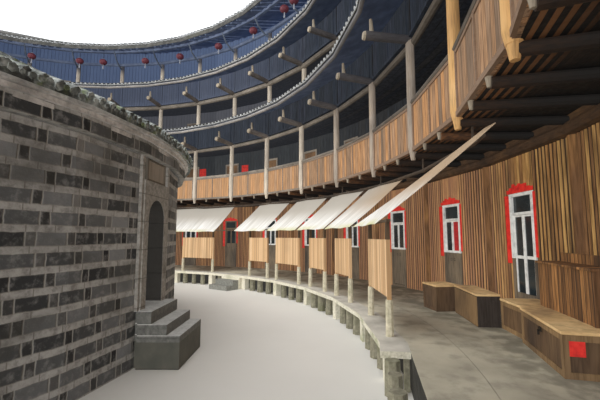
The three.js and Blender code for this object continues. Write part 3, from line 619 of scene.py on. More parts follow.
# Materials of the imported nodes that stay

DRESSED = {
    "rubble": "stone_footing",
    "earth": "earth_wall_north earth_wall_west earth_wall_gate earth_wall_east",
    "stone": "main_gate hall_floor",
    "cement": "ground_floor",
    "platform": "platform_edge",
    "kitchen": "kitchen_wall_between_doors kitchen_wall_west kitchen_wall_east",
    "beam": "kitchen_wall_beam",
    "floor": "floor_2",
    "shaded_high_floor": "floor_3 floor_4",
    "balustrade": "balustrade_2",
    "shaded": "balustrade_3",
    "high_shaded": "balustrade_4",
    "shaded_rooms": "room_wall_2",
    "shaded_high_rooms": "room_wall_3",
    "shaded_top_rooms": "room_wall_4",
    "tile": "pent_roof_3 pent_roof_4 main_roof_inner main_roof_outer main_ridge",
    "brick": "hall_wall",
    "portal": "hall_doorway hall_front_doorway",
    "mossy_tile": "hall_roof",
    "post": "hall_frame",
    "screen": "edge_screens_west edge_screens_east",
}
for key, nodes in DRESSED.items():
    for node in nodes.split():
        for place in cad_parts[node].material_slots:
            place.material = FINISH[key]

# Shapes


class Piece:
    """One named piece, made of boxes, logs and rings joined in one mesh."""

    def __init__(self, name, finish, slot="grey_wood", body="building"):
        self.name = name
        self.finish = finish
        self.slot = slot
        self.body = body
        self.mesh = bmesh.new()

    def box(self, angle, r, across, z, bevel=0.0):
        """A box between two limits each way, given in any order."""
        limits = [sorted(pair) for pair in (r, across, z)]
        size = Matrix.Diagonal((*[high - low for low, high in limits], 1))
        middle = Matrix.Translation([(low + high) / 2 for low, high in limits])
        made = bmesh.ops.create_cube(self.mesh, size=1, matrix=turned(angle) @ middle @ size)
        if bevel:
            edges = list({edge for vert in made["verts"] for edge in vert.link_edges})
            bmesh.ops.bevel(self.mesh, geom=edges, affect="EDGES", offset=bevel, segments=1, profile=0.5,
                            material=-1)
        return self

    def beam(self, start, end, width, depth):
        """A squared length of wood between two points, with its width level."""
        along = end - start
        side = Vector((0, 0, 1)).cross(along).normalized()
        up = along.cross(side).normalized()
        axes = Matrix((along.normalized(), side, up)).transposed().to_4x4()
        size = Matrix.Diagonal((along.length, width, depth, 1))
        matrix = Matrix.Translation((start + end) / 2) @ axes @ size
        bmesh.ops.create_cube(self.mesh, size=1, matrix=matrix)

    def log(self, start, end, radius, sides=8, end_radius=None):
        along = end - start
        matrix = Matrix.Translation((start + end) / 2) @ along.to_track_quat("Z", "Y").to_matrix().to_4x4()
        tip = radius if end_radius is None else end_radius
        bmesh.ops.create_cone(self.mesh, cap_ends=True, segments=sides, radius1=radius, radius2=tip,
                              depth=along.length, matrix=matrix)

    def bar(self, angle, start, end, *form):
        """A log in the upright plane at an angle, between two places of a distance and a height."""
        self.log(*[here(angle, r, 0, z) for r, z in (start, end)], *form)

    def along(self, bay, r, z, *form):
        """A level log from one bay line to the next."""
        self.log(*[here(bay_angle(place), r, 0, z) for place in about(bay, 0.5)], *form)

    def ring(self, section, sides=BAYS):
        """A closed ring with corners at the posts: its section is a list of distance and height."""
        verts = [self.mesh.verts.new(here(bay_angle(0.5), r, 0, z)) for r, z in section]
        edges = [self.mesh.edges.new((a, b)) for a, b in zip(verts, verts[1:] + verts[:1])]
        bmesh.ops.spin(self.mesh, geom=verts + edges, cent=(0, 0, 0), axis=(0, 0, 1), angle=2 * math.pi,
                       steps=sides, use_merge=True)
        return self

    def done(self, smooth=False, replaces=()):
        bmesh.ops.remove_doubles(self.mesh, verts=self.mesh.verts, dist=1e-6)
        bmesh.ops.recalc_face_normals(self.mesh, faces=self.mesh.faces)
        mesh = bpy.data.meshes.new(self.name)
        self.mesh.to_mesh(mesh)
        self.mesh.free()
        mesh.materials.append(FINISH[self.finish])
        if smooth:
            mesh.shade_smooth()
        piece = bpy.data.objects.new(self.name, mesh)
        bpy.context.scene.collection.objects.link(piece)
        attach(piece, self.body)
        if replaces:
            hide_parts(*replaces)


def all_done(*pieces):
    for piece in pieces:
        piece.done()


# Galleries


def gallery_brace(arms, angle):
    """A squared brace under the top eave, bent toward the eave in short lengths."""
    curve = [(POST_R, 10.88), (11.86, 10.9), (11.64, 11.0), (11.42, 11.14), (11.28, 11.34), (11.2, 11.46)]
    points = [here(angle, r, 0, z) for r, z in curve]
    for start, end in zip(points, points[1:]):
        arms.beam(start, end + (end - start) * 0.08, 0.045, 0.06)


def gallery_arm(arms, tips, angle, z):
    """A round arm from the post to near the pent's edge, with its pale end and the peg on it."""
    end_r = 10.99
    arms.bar(angle, (POST_R, z), (end_r, z + 0.06), 0.095, 10, 0.1)
    tips.bar(angle, (end_r, z + 0.05), (end_r - 0.05, z + 0.05), 0.102, 10, 0.085)
    tips.bar(angle, (end_r + 0.15, z + 0.08), (end_r + 0.13, z + 0.43), 0.055, 8, 0.035)


def gallery_timbers(storey):
    """Round posts, ring logs, rails and arms of one gallery."""
    floor = FLOORS[storey]
    number = storey + 2
    top = storey == 2
    feet = storey == 0
    beam_top = 11.22 if top else FLOORS[storey + 1] - DECK
    posts = Piece(f"gallery_posts_{number}", "post")
    # The top gallery's rails take the roof's painted shade.
    rails = Piece(f"gallery_rails_{number}", "roof_shade" if top else "rail")
    arms = Piece(f"gallery_arms_{number}", "brace" if top else "arm")
    post_r = BOARDS_R + 0.01 if feet else POST_R + 0.05
    beam = 0.1 if storey == 1 else 0.08
    tips = None if top else Piece(f"gallery_arm_tips_{number}", "knob")
    for bay in range(BAYS):
        angle = bay_angle(bay + 0.5)
        posts.bar(angle, (post_r, floor), (post_r, beam_top - 0.02), 0.1, 12, 0.09)
        if feet:
            posts.bar(angle, (post_r, floor - 0.14), (post_r, floor), 0.075, 12, 0.1)
            posts.bar(angle, (post_r, floor - 0.29), (post_r, floor - 0.14), 0.045, 12, 0.07)
        rails.along(bay, POST_R, beam_top - beam, beam)
        rails.along(bay, BOARDS_R + 0.01, floor + RAIL_HEIGHTS[storey], 0.055)
        if top:
            gallery_brace(arms, angle)
        else:
            gallery_arm(arms, tips, angle, beam_top - 0.01)
    posts.done(replaces=[f"gallery_frame_{number}"])
    all_done(rails, arms)
    if tips:
        tips.done()


def balustrade_frame(storey):
    """Stiles and rails on the boards of a gallery's front."""
    floor = FLOORS[storey]
    high = floor + RAIL_HEIGHTS[storey]
    low = RIM_UNDER if storey == 0 else floor - DECK
    finish = ("front_rail", "shaded", "high_shaded")[storey]
    bars = Piece(f"balustrade_frame_{storey + 2}", finish)
    r = BOARDS_R * math.cos(HALF_BAY)
    back = r + 0.005
    half = r * math.tan(HALF_BAY) - 0.11
    for bay in range(BAYS):
        angle = bay_angle(bay)
        for across, wide in ((-half, 0.03), (0.0, 0.022), (half, 0.03)):
            bars.box(angle, (r - 0.022, back), about(across, wide), (low, high))
        bars.box(angle, (r - 0.04, back), (-half, half), (low, low + 0.075))
        bars.box(angle, (r - 0.018, back), (-half, half), (high - 0.1, high - 0.04))
    bars.done()


def rim_knobs():
    """Joists of the second floor and the pegs under its rim."""
    knobs = Piece("rim_knobs", "knob", "pale_wood")
    joists = Piece("gallery_joists", "joist", "dark_wood")
    joist_z = 3.76
    for bay in range(BAYS):
        for third in (0.5, 0.833, 1.167):
            angle = bay_angle(bay + third)
            r = face(BOARDS_R, angle)
            if third != 0.5:
                knobs.bar(angle, (r + 0.01, RIM_UNDER - 0.12), (r + 0.01, RIM_UNDER), 0.022, 8, 0.042)
            joists.bar(angle, (r + 0.03, joist_z), (ROOM_R + 0.05, joist_z), 0.07, 10)
    all_done(knobs, joists)


for storey in range(3):
    gallery_timbers(storey)
    balustrade_frame(storey)
rim_knobs()


# Roofs


def tile_rows(name, per_bay, inner, outer, finish="tile", radius=0.055):
    """Rows of cover tiles down a slope between two edges, each an edge radius and height."""
    rows = Piece(name, finish, "tile")
    for angle in angles(per_bay):
        rows.bar(angle, *[(face(r, angle), z + 0.012) for r, z in (inner, outer)], radius, 6)
    rows.done()


def tile_ends(name, per_bay, edge, under, step):
    """Limed round ends of the tile rows along an eave; step points from the edge up the slope."""
    ends = Piece(name, "tile_end", "tile")
    edge_r, z = edge
    for angle in angles(per_bay):
        r = face(edge_r, angle)
        ends.bar(angle, (r - step * 0.012, z), (r + step * 0.05, z + 0.02), 0.05, 7)
    for angle in angles(per_bay, 0):
        r = face(edge_r, angle)
        ends.box(angle, (r - step * 0.01, r + step * 0.02), (-0.04, 0.04), (z - under, z - 0.012))
    ends.done()


def eave_board(name, r, z, finish="knob", height=0.12, thick=0.04):
    section = [(r, z), (r + thick, z), (r + thick, z + height), (r, z + height)]
    Piece(name, finish).ring(section).done()


def boarding(name, inner, outer, thick=0.006):
    """Thin boards under a roof, between two places of a distance and a height of their upper face."""
    section = [inner, (inner[0], inner[1] - thick), (outer[0], outer[1] - thick), outer]
    Piece(name, "roof_shade", "dark_wood").ring(section).done()


def main_roof():
    """Tile rows, eaves, rafters and boards of the main roof."""
    ridge_z = RIDGE_Z - 0.02
    outer_foot = (OUTER_EAVE_R - 0.03, OUTER_EAVE_Z + 0.015)
    tile_rows("main_inner_tile_rows", 10, EAVE, (RIDGE_R - 0.1, ridge_z))
    tile_rows("main_outer_tile_rows", 15, (RIDGE_R + 0.1, ridge_z), outer_foot, radius=0.065)
    tile_ends("main_eave_tile_ends", 10, EAVE, 0.05, 1)
    tile_ends("outer_eave_tile_ends", 15, (OUTER_EAVE_R - 0.02, OUTER_EAVE_Z), 0.05, -1)
    purlin_r = 11.22
    purlin_z = main_under(purlin_r, bay_angle(0.5)) - 0.13
    eave_board("main_eave_board", EAVE[0] + 0.01, EAVE[1] - 0.2, "rail", 0.1)
    # The purlin takes the roof's painted shade.
    eave_board("main_eave_purlin", purlin_r, purlin_z, "roof_shade", 0.12, 0.12)
    eave_board("outer_eave_board", OUTER_EAVE_R - 0.2, OUTER_EAVE_Z - 0.26)
    rafters = Piece("main_rafters", "roof_shade", "dark_wood")
    for n, angle in enumerate(angles(6)):
        if n % 6 not in (0, 5):
            places = (face(EAVE[0], angle) + 0.1, 15.0)
            ends = [here(angle, r, 0, main_under(r, angle) - 0.03) for r in places]
            rafters.beam(*ends, 0.07, 0.06)
    rafters.done()
    inner = (EAVE[0] + 0.05, EAVE[1] - MAIN_THICK + 0.022)
    boarding("main_roof_boarding", inner, (RIDGE_R, RIDGE_Z - MAIN_THICK - 0.004))


def pent_roof(number, edge_z):
    """Tile rows, edge log and boards of the narrow roof outside a gallery."""
    name = f"pent_{number}"
    rise = PENT_SLOPE * (BOARDS_R - PENT_R)
    low = edge_z - PENT_THICK
    tile_rows(f"{name}_tile_rows", 10, (PENT_R, edge_z), (BOARDS_R - 0.02, edge_z + rise))
    tile_ends(f"{name}_tile_ends", 10, (PENT_R, edge_z), 0.04, 1)
    log = Piece(f"{name}_edge_log", "pent_log")
    for bay in range(BAYS):
        log.along(bay, PENT_R + 0.06, edge_z - 0.14, 0.055)
    log.done()
    boarding(f"{name}_boarding", (PENT_R + 0.04, low + 0.014), (BOARDS_R - 0.01, low + rise - 0.002))


main_roof()
for number, edge_z in zip((3, 4), PENT_EDGES):
    pent_roof(number, edge_z)


# Rooms behind the galleries


def upper_leaf(leaves, angle, side, floor):
    """A closed leaf with two raised panels."""
    edge = DOOR_OFFSET + side * DOOR_HALF
    r = ROOM_FACE + 0.02
    heights = (floor + 0.02, floor + UPPER_HEAD - 0.03)
    leaves.box(angle, (r, r + 0.03), (DOOR_OFFSET + side * 0.004, edge), heights)
    for low, high in ((0.12, 0.75), (0.85, 1.65)):
        across = (DOOR_OFFSET + side * 0.06, edge - side * 0.05)
        leaves.box(angle, (r - 0.012, r), across, (floor + low, floor + high))


def upper_doors():
    """Frames and leaves of the doors behind the three upper galleries, one pair of them standing open."""
    frames = Piece("upper_door_frames", "rail", "dark_wood")
    leaves = Piece("upper_door_leaves", "upper_door", "dark_wood")
    depth = (ROOM_FACE - 0.03, ROOM_FACE + 0.07)
    half = DOOR_HALF + FRAME_SIZE
    for bay in range(BAYS):
        angle = bay_angle(bay)
        for floor in FLOORS:
            head = floor + UPPER_HEAD
            for side in (-1, 1):
                edge = DOOR_OFFSET + side * DOOR_HALF
                frames.box(angle, depth, (edge, edge + side * FRAME_SIZE), (floor, head + 0.03))
                if bay == 0 and floor == FLOORS[0]:
                    leaf_r = (ROOM_FACE + 0.07, ROOM_FACE + 0.42)
                    leaves.box(angle, leaf_r, (edge, edge - side * 0.03), (floor + 0.02, head - 0.03))
                else:
                    upper_leaf(leaves, angle, side, floor)
            frames.box(angle, depth, about(DOOR_OFFSET, half), (head - 0.03, head + 0.05))
    all_done(frames, leaves)


def upper_papers():
    """Bare red papers on the boards beside some second storey doors."""
    papers = Piece("upper_door_papers", "red", "white")
    seen = {7: -0.54, 6: -0.71}
    for bay in [*seen, *range(10, BAYS, 3)]:
        across = about(seen.get(bay, -0.62), 0.2)
        papers.box(bay_angle(bay), (ROOM_FACE - 0.008, ROOM_FACE - 0.001), across, (5.26, 5.68))
    papers.done()


upper_doors()
upper_papers()


# Ground storey


def ground_bays():
    return [bay for bay in range(BAYS) if bay != GATE_BAY]


def kitchen_wall():
    """Cover strips on the boards, a half round post at each bay line, and a log along the wall's head."""
    strips = Piece("kitchen_cover_strips", "strip", "dark_wood")
    posts = Piece("kitchen_posts", "kitchen_post", "dark_wood")
    beam = Piece("kitchen_beam_log", "beam", "dark_wood")
    half = ROOM_FACE * math.tan(HALF_BAY)
    count = 28
    r = ROOM_FACE + 0.006
    for bay in range(BAYS):
        angle = bay_angle(bay)
        posts.bar(bay_angle(bay + 0.5), (ROOM_R + 0.02, PLATFORM), (ROOM_R + 0.02, WALL_TOP + 0.02), 0.1, 10)
        beam.along(bay, ROOM_R - 0.06, WALL_TOP + 0.1, 0.1, 10)
        if bay == GATE_BAY:
            continue
        for n in range(count):
            across = -half + (n + 0.5) * 2 * half / count
            low = DOOR_HEAD + 0.02 if abs(across - DOOR_OFFSET) < DOOR_HALF + 0.03 else PLATFORM
            wide = 0.024 + 0.008 * chance.random()
            strips.log(here(angle, r, across, low), here(angle, r, across, WALL_TOP), wide, 6)
        strips.box(angle, (r - 0.01, r + 0.05), about(DOOR_OFFSET, DOOR_HALF), (DOOR_HEAD, WALL_TOP))
    all_done(strips, posts, beam)


def door_papers(papers, angle, left, right):
    """Red papers down both sides of a doorway and in a ragged row over it."""
    depth = (DOOR_FACE - 0.006, DOOR_FACE - 0.001)
    papers.box(angle, depth, (left + 0.01, left + 0.15), (WAIST - 0.1, DOOR_HEAD - 0.02))
    papers.box(angle, depth, (right - 0.075, right - 0.01), (WAIST + 0.05, DOOR_HEAD - 0.02))
    lifts = (0.02, 0.05, 0.1, 0.09, 0.13, 0.1, 0.12, 0.06, 0.03)
    for n, lift in enumerate(lifts):
        across = right - 0.03 + n * (2 * DOOR_HALF + 0.1) / len(lifts)
        top = DOOR_HEAD + 0.04 + lift + 0.02 * chance.random()
        papers.box(angle, depth, (across, across + 0.091), (DOOR_HEAD + 0.005, top))


def door_surrounds():
    """White frames, dark lower jambs, sills and top lights, and red paper round each doorway."""
    white = Piece("door_frames_white", "white", "white")
    dark = Piece("door_frames_dark", "door_wood", "dark_wood")
    lights = Piece("door_top_lights", "glass", "white")
    papers = Piece("door_red_papers", "red", "white")
    right, left = about(DOOR_OFFSET, DOOR_HALF)
    inner = (right + FRAME_SIZE, left - FRAME_SIZE)
    r, back = DOOR_FACE, DOOR_FACE + 0.1
    for bay in ground_bays():
        angle = bay_angle(bay)
        pale = dark if bay == DARK_BAY else white
        for edge, side in ((left, 1), (right, -1)):
            jamb = (edge, edge - side * FRAME_SIZE)
            pale.box(angle, (r - 0.012, back), jamb, (WAIST, DOOR_HEAD), 0.004)
            dark.box(angle, (r, back), jamb, (PLATFORM, WAIST))
        pale.box(angle, (r - 0.012, back), inner, (DOOR_HEAD - FRAME_SIZE, DOOR_HEAD), 0.004)
        pale.box(angle, (r - 0.01, back), inner, (TRANSOM, TRANSOM + FRAME_SIZE - 0.012), 0.004)
        dark.box(angle, (r, back), inner, (PLATFORM, SILL_TOP))
        lights.box(angle, (r + 0.04, r + 0.046), inner, (TRANSOM + 0.04, DOOR_HEAD - 0.05))
        door_papers(papers, angle, left, right)
    white.done(replaces=[f"{name}_frame" for name in TURNING_BAYS.values()])
    all_done(dark, lights, papers)


def ring_pull(iron, angle, middle):
    """An iron ring hanging flat on a leaf."""
    turn = turned(angle) @ Matrix.Rotation(math.pi / 2, 4, "Y")
    places = [k * math.pi / 5 for k in range(10)]
    points = [middle + turn @ Vector((0.03 * math.cos(a), 0.03 * math.sin(a), 0)) for a in places]
    for start, end in zip(points, points[1:] + points[:1]):
        iron.beam(start, end, 0.006, 0.006)


def leaf_parts(angle, side, white, wood, glass, iron, panel_top=WAIST):
    """A leaf: painted stiles round its panes, a rail at the waist, and a weathered panel with a ring pull."""
    hinge_edge = DOOR_OFFSET + side * (DOOR_HALF - FRAME_SIZE - JAMB_GAP)
    meeting = DOOR_OFFSET + side * MEETING_GAP / 2
    back = DOOR_FACE + LEAF_BACK
    front = back - LEAF_THICK
    low, high = SILL_TOP + LEAF_GAP, TRANSOM - LEAF_GAP
    stile, rail = 0.03, 0.075
    last_rail = panel_top - 0.08
    across = (hinge_edge - side * stile, meeting + side * stile)
    for edge, into in ((hinge_edge, -side), (meeting, side)):
        white.box(angle, (front, back), (edge, edge + into * stile), (panel_top, high), 0.003)
        wood.box(angle, (front, back - 0.03), (edge, edge + into * 0.05), (low + rail, last_rail))
    white.box(angle, (front, back), across, (high - stile, high))
    white.box(angle, (front, back), across, (WAIST, WAIST + 0.055))
    glass.box(angle, (back - 0.022, back - 0.016), across, (panel_top, high - stile))
    wood.box(angle, (back - 0.03, back), (hinge_edge, meeting), (low, panel_top - 0.001))
    for place in (low, last_rail):
        wood.box(angle, (front, back - 0.03), (hinge_edge, meeting), (place, place + rail))
    ring_pull(iron, angle, here(angle, front - 0.012, meeting + side * 0.06, panel_top - 0.16))


def leaf_pieces(name, body, pane="glass"):
    """New pieces for leaves: their painted frame, their panel, their pane and their ring."""
    sorts = (("frame", "white", "white"), ("panel", "door_wood", "dark_wood"), ("pane", pane, "white"),
             ("ring", "iron", "white"))
    return [Piece(name % part, finish, slot, body) for part, finish, slot in sorts]


def door_leaves():
    """The turning leaves, each on its own body, and the fixed ones of the other doors."""
    for bay, name in TURNING_BAYS.items():
        for side, hand in ((1, "left"), (-1, "right")):
            node = f"{name}_leaf_{hand}"
            pane = "curtain" if (bay, hand) == (1, "right") else "glass"
            parts = leaf_pieces(f"{node}_%s", node, pane)
            leaf_parts(bay_angle(bay), side, *parts, panel_top=1.05 if bay == 0 else WAIST)
            parts[0].done(replaces=[node])
            all_done(*parts[1:])
    fixed = leaf_pieces("fixed_leaf_%ss", "building")
    for bay in ground_bays():
        if bay not in TURNING_BAYS:
            for side in (1, -1):
                leaf_parts(bay_angle(bay), side, fixed[bay == DARK_BAY], *fixed[1:])
    all_done(*fixed)


def platform_posts():
    """Short stone posts under the platform's edge, thin legs of its near slab, and stubs of the screens."""
    posts = Piece("platform_stone_posts", "edge_stone", "stone")
    for angle in [bay_angle(bay + quarter) for bay in range(BAYS) for quarter in (-0.25, 0.0, 0.25)]:
        r = face(EDGE_R, angle) + 0.15
        wide = 0.085 + 0.02 * chance.random()
        posts.bar(angle, (r, 0.0), (r, 0.45), wide + 0.01, 7, wide)
    for r in (10.79, 11.03):
        posts.box(82.9, (r, r + 0.075), (-0.04, 0.035), (0, 0.44), 0.006)
    posts.done()
    stubs = Piece("screen_stone_stubs", "stub", "stone")
    for angle in [bay_angle(place) for place in SCREEN_PLACES]:
        r = face(POLE_R, angle) + 0.03
        stubs.bar(angle, (r, PLATFORM), (r, 1.08), 0.064, 7, 0.056)
    stubs.done()


kitchen_wall()
door_surrounds()
door_leaves()
platform_posts()


# Awnings


def awning(sheets, place, tip=0.0, tip_half=AWNING_HALF, tip_r=AWNING_HIGH[0]):
    """A thin stiff sheet from the ledger to over the platform's edge, a little sunk in its middle."""
    made = bmesh.ops.create_grid(sheets.mesh, x_segments=8, y_segments=6, size=0.5)
    for vert in made["verts"]:
        up, side = vert.co.x + 0.5, vert.co.y * 2
        half = AWNING_HALF + (tip_half - AWNING_HALF) * up
        sag = 0.03 * math.sin(math.pi * up) + 0.012 * (1 - up) * math.cos(5 * side + place)
        r = AWNING_LOW[0] + (tip_r - AWNING_LOW[0]) * up
        z = AWNING_LOW[1] + (AWNING_HIGH[1] - AWNING_LOW[1]) * up - sag
        vert.co = here(bay_angle(place), r, tip * up + half * side, z)
    faces = list({face for vert in made["verts"] for face in vert.link_faces})
    bmesh.ops.solidify(sheets.mesh, geom=faces, thickness=0.014)


def awnings():
    """All sheets, of which the one nearest the turning doors narrows to a tied end, and their ledgers."""
    sheets = Piece("awning_sheets", "sheet", "sheet")
    awning(sheets, AWNING_PLACES[0], -2.6, 0.12, 11.88)
    for place in AWNING_PLACES[1:]:
        awning(sheets, place)
    sheets.done(replaces=["awnings_west", "awnings_east"])
    ledgers = Piece("awning_ledgers", "ledger", "dark_wood")
    ledger_r, ledger_z = 12.19, 3.44
    for first, last in LEDGERS:
        posts = [k + 0.5 for k in range(math.ceil(first - 0.5), math.floor(last - 0.5) + 1)]
        bends = [bay_angle(place) for place in (first, *posts, last)]
        points = [here(angle, face(ledger_r, angle), 0, ledger_z) for angle in bends]
        for ends in zip(points, points[1:]):
            ledgers.log(*ends, 0.04, 8)
        for angle in bends[1:-1]:
            ledgers.bar(angle, (ledger_r, ledger_z), (ledger_r, 3.82), 0.02, 6)
    ledgers.done()


awnings()


# Bench, cupboard and chests


def chest_box(top, carcass, bars, angle, depth, across, height):
    """A box with a lid, corner stiles and rails on its front, and stiles and rails on its ends."""
    front, back = depth
    lid, stile, rail = 0.035, 0.06, 0.07
    head = PLATFORM + height
    body = (PLATFORM, head - lid)
    sides = ((across[0], 1), (across[1], -1))
    carcass.box(angle, (front + 0.014, back), (across[0] + 0.014, across[1] - 0.014), body)
    top.box(angle, (front - 0.012, back), (across[0] - 0.008, across[1] + 0.008), (head - lid, head), 0.005)
    for low in (PLATFORM, head - lid - rail):
        heights = (low, low + rail)
        bars.box(angle, (front + 0.002, front + 0.02), (across[0] + 0.01, across[1] - 0.01), heights)
        for end, into in sides:
            bars.box(angle, (front + 0.01, back), (end + into * 0.002, end + into * 0.02), heights)
    for end, into in sides:
        bars.box(angle, (front, front + 0.02), (end, end + into * stile), body)
        for r in (front + 0.002, (front + back) / 2, back - stile):
            bars.box(angle, (r, r + stile), (end, end + into * 0.02), body)


def benches():
    """Two lengths of box bench, with a boarded cupboard front behind them."""
    top = Piece("bench_lids", "chest")
    carcass = Piece("bench_boxes", "chest_front")
    bars = Piece("bench_frames", "chest_rail")
    chest_box(top, carcass, bars, 75, (12.6, 13.3), (0.94, 2.35), 0.5)
    chest_box(top, carcass, bars, 85, (12.895, 13.48), (0.06, 0.96), 0.49)
    carcass.done(replaces=["bench_with_cupboard"])
    cupboard = Piece("cupboard_front", "cupboard", "dark_wood")
    low, high = PLATFORM + 0.48, PLATFORM + 1.13
    cupboard.box(78, (13.1, 13.4), (0.5, 2.0), (low, high))
    count = 15
    wide = 1.42 / count
    for n in range(count):
        across = about(0.58 + (n + 0.5) * wide, wide / 2 - 0.006)
        cupboard.box(78, (13.086, 13.102), across, (low, high))
    cupboard.box(78, (13.075, 13.14), (0.5, 0.58), (low, high), 0.004)
    cupboard.box(78, (13.05, 13.4), (0.49, 2.01), (high, high + 0.03), 0.005)
    cupboard.box(78, (13.36, 13.4), (0.3, 1.9), (high + 0.03, high + 0.16), 0.005)
    all_done(bars, top, cupboard)


def chests():
    """The chest before the bench, and a smaller one past it, with a hasp and a red paper on the bench."""
    sorts = (
        ("chest_lid", "chest_body", "chest_dark", 84, (12.5, 12.88), (1.2, 2.4), 0.55, ["chest"]),
        ("far_chest_lid", "far_chest_box", "chest_front", 98, (12.37, 12.9), (-0.58, 0.0), 0.53, ()),
    )
    for lid, body, finish, angle, depth, across, height, nodes in sorts:
        top = Piece(lid, "chest")
        box = Piece(body, finish)
        chest_box(top, box, box, angle, depth, across, height)
        box.done(replaces=nodes)
        top.done()
    panel = Piece("chest_front_panel", "chest_rail")
    panel.box(84, (12.494, 12.502), (1.2, 2.4), (PLATFORM + 0.01, PLATFORM + 0.5)).done()
    paper = Piece("bench_paper", "red", "white")
    paper.box(75, (12.66, 12.81), (0.934, 0.939), (PLATFORM + 0.24, PLATFORM + 0.4)).done()
    hasp = Piece("bench_hasp", "iron", "white")
    hasp.box(75, (12.59, 12.6), (1.55, 1.64), (PLATFORM + 0.34, PLATFORM + 0.4), 0.004)
    hasp.log(*[here(75, 12.575, 1.595, PLATFORM + z) for z in (0.3, 0.36)], 0.014, 8)
    hasp.done()


benches()
chests()


# Hall


def hall_cornice():
    """Thin courses that step out under the hall's eave, and rows of tiles on its roof."""
    courses = Piece("hall_cornice_courses", "cornice", "brick")
    for n in range(5):
        z = 3.4 + n * 0.07
        out = HALL_R + 0.04 + n * 0.045
        courses.ring([(HALL_R - 0.05, z), (out, z), (out, z + 0.058), (HALL_R - 0.05, z + 0.058)], BAYS * 2)
    courses.done()
    middle = (HALL_EAVE_R + HALL_COURT_R) / 2
    high = HALL_EAVE_Z + HALL_SLOPE * (HALL_EAVE_R - middle)
    top = (middle, high)
    tile_rows("hall_outer_tile_rows", 7, top, (HALL_EAVE_R, HALL_EAVE_Z), "mossy_tile", 0.05)
    tile_rows("hall_inner_tile_rows", 3, (HALL_COURT_R, HALL_EAVE_Z), top, "mossy_tile", 0.06)
    ends = Piece("hall_eave_tile_ends", "mossy_tile", "tile")
    for angle in angles(14):
        r = face(HALL_EAVE_R, angle)
        size = 0.022 + 0.032 * chance.random()
        z = HALL_EAVE_Z - 0.03 + 0.05 * chance.random()
        ends.bar(angle, (r - 0.06, z), (r + 0.01 + 0.03 * chance.random(), z - 0.02), size, 6)
    ends.done()
    low_pair = [(r, high - 0.02) for r in about(middle, 0.15)]
    high_pair = [(r, high + 0.14) for r in reversed(about(middle, 0.1))]
    Piece("hall_ridge", "mossy_tile", "tile").ring(low_pair + high_pair).done()


def hall_plaque():
    """Bare board in a dark frame over the doorway that faces the turning doors, between two pilasters."""
    board = Piece("hall_plaque_board", "plaque", "stone")
    border = Piece("hall_plaque_frame", "plaque_frame", "stone")
    pilasters = Piece("hall_pilasters", "portal", "stone")
    r = HALL_R * math.cos(HALF_BAY)
    board.box(90, (r, r + 0.03), (-0.36, 0.36), (3.04, 3.36))
    for across in ((-0.4, -0.36), (0.36, 0.4)):
        border.box(90, (r, r + 0.045), across, (3.01, 3.39))
    for z in ((3.01, 3.04), (3.36, 3.39)):
        border.box(90, (r, r + 0.045), (-0.36, 0.36), z)
    for bay in (0, GATE_BAY):
        for across in ((-0.6, -0.52), (0.52, 0.6)):
            pilasters.box(bay_angle(bay), (r - 0.02, r + 0.05), across, (HALL_FLOOR, 3.4))
    all_done(board, border, pilasters)


hall_cornice()
hall_plaque()


# Lanterns under the main eave


def lanterns():
    silk = Piece("lantern_globes", "lantern", "white")
    thread = Piece("lantern_tassels", "tassel", "white")
    hooks = Piece("lantern_hooks", "iron", "white")
    seen = [199.6, 188.8, 183.0, 171.8, 161.8, 149.9, 138.6, 128.1]
    every = [bay_angle(bay) + 3.0 for bay in range(BAYS)]
    globe = Matrix.Diagonal((0.185, 0.185, 0.15, 1))
    for angle in seen + [angle for angle in every if not 125 < angle % 360 < 205]:
        size = Matrix.Translation(here(angle, LANTERN_R, 0, 10.94)) @ globe
        bmesh.ops.create_uvsphere(silk.mesh, u_segments=12, v_segments=8, radius=1, matrix=size)
        top = main_under(LANTERN_R, angle) + 0.02
        thread.bar(angle, (LANTERN_R, 10.82), (LANTERN_R, 10.57), 0.02, 6, 0.035)
        thread.bar(angle, (LANTERN_R, 11.06), (LANTERN_R, 11.1), 0.06)
        hooks.bar(angle, (LANTERN_R, 11.09), (LANTERN_R, top), 0.006, 5)
    silk.done(smooth=True)
    all_done(thread, hooks)


lanterns()


# Outside: window frames and the gate's leaves


def outside():
    bars = Piece("window_frames", "door_wood", "dark_wood")
    half, wide = 0.24, 0.05
    clear = half - wide
    depth = (17.3, 17.4)
    for low, high, bays in ((7.3, 8.05, range(0, BAYS, 2)), (9.75, 10.5, range(BAYS))):
        for angle in [bay_angle(bay) for bay in bays]:
            for side in (-1, 1):
                bars.box(angle, depth, (side * half, side * clear), (low, high))
            for z in (low, high - wide):
                bars.box(angle, depth, (-clear, clear), (z, z + wide))
            for across in (-0.1, 0.0, 0.1):
                bars.box(angle, (17.335, 17.365), about(across, 0.015), (low + wide, high - wide))
    leaves = Piece("gate_leaf_boards", "door_wood", "dark_wood")
    for side in (-1, 1):
        edge = side * 0.885
        across = (edge - side * 0.012, edge + side * 0.02)
        for n in range(6):
            start = EARTH_IN_R + 0.062 + n * 0.147
            leaves.box(bay_angle(GATE_BAY), (start, start + 0.143), across, (PLATFORM + 0.02, 3.3))
    all_done(bars, leaves)


outside()


# Light, floor and camera


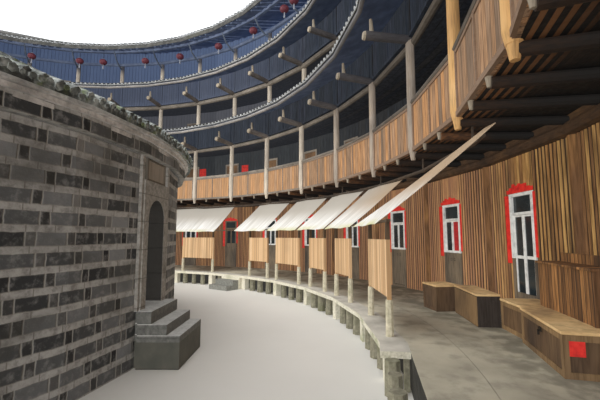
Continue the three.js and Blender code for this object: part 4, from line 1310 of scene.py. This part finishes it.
def lamp(name, energy, direction, angle, color, shadow):
    """A soft sun shining in a direction; a fill casts no shadow."""
    sun = bpy.data.lights.new(name, "SUN")
    sun.energy = energy
    sun.angle = math.radians(angle)
    sun.color = color
    sun.use_shadow = shadow
    piece = bpy.data.objects.new(name, sun)
    piece.rotation_euler = Vector(direction).to_track_quat("-Z", "Y").to_euler()
    bpy.context.scene.collection.objects.link(piece)


def stage():
    ground = bmesh.new()
    bmesh.ops.create_grid(ground, x_segments=1, y_segments=1, size=150)
    mesh = bpy.data.meshes.new("pale_floor")
    ground.to_mesh(mesh)
    ground.free()
    mesh.materials.append(plain("30:d3d1cc 70:dad8d3", 0.4, 0.9))
    floor = bpy.data.objects.new("pale_floor", mesh)
    floor.location.z = -0.002
    bpy.context.scene.collection.objects.link(floor)
    world = bpy.data.worlds.new("studio_light")
    world.use_nodes = True
    sky = world.node_tree.nodes["Background"]
    sky.inputs[0].default_value = (0.94, 0.97, 1.0, 1.0)
    sky.inputs[1].default_value = 1.5
    bpy.context.scene.world = world
    lamp("soft_key", 2.2, (-0.3, 0.35, -1.0), 60, (1.0, 0.97, 0.92), True)
    lamp("fill_along_the_view", 1.3, (-1.0, -0.1, 0.0), 60, (1.0, 0.98, 0.96), False)
    lamp("fill_on_the_rooms", 1.9, (-0.25, 1.0, -0.05), 60, (1.0, 0.95, 0.88), False)
    bpy.context.scene.view_settings.view_transform = "Standard"


def camera():
    data = bpy.data.cameras.new("camera")
    data.sensor_width = 36
    data.lens = 363.2 / 600 * 36
    eye = bpy.data.objects.new("camera", data)
    heading = math.radians(180.31)
    pitch = math.radians(5.72)
    look = Vector((math.cos(heading) * math.cos(pitch), math.sin(heading) * math.cos(pitch), math.sin(pitch)))
    eye.location = (6.461, 9.576, 2.061)
    eye.rotation_euler = look.to_track_quat("-Z", "Y").to_euler()
    data.clip_start = 0.02
    data.clip_end = 400
    bpy.context.scene.collection.objects.link(eye)
    bpy.context.scene.camera = eye


stage()
camera()
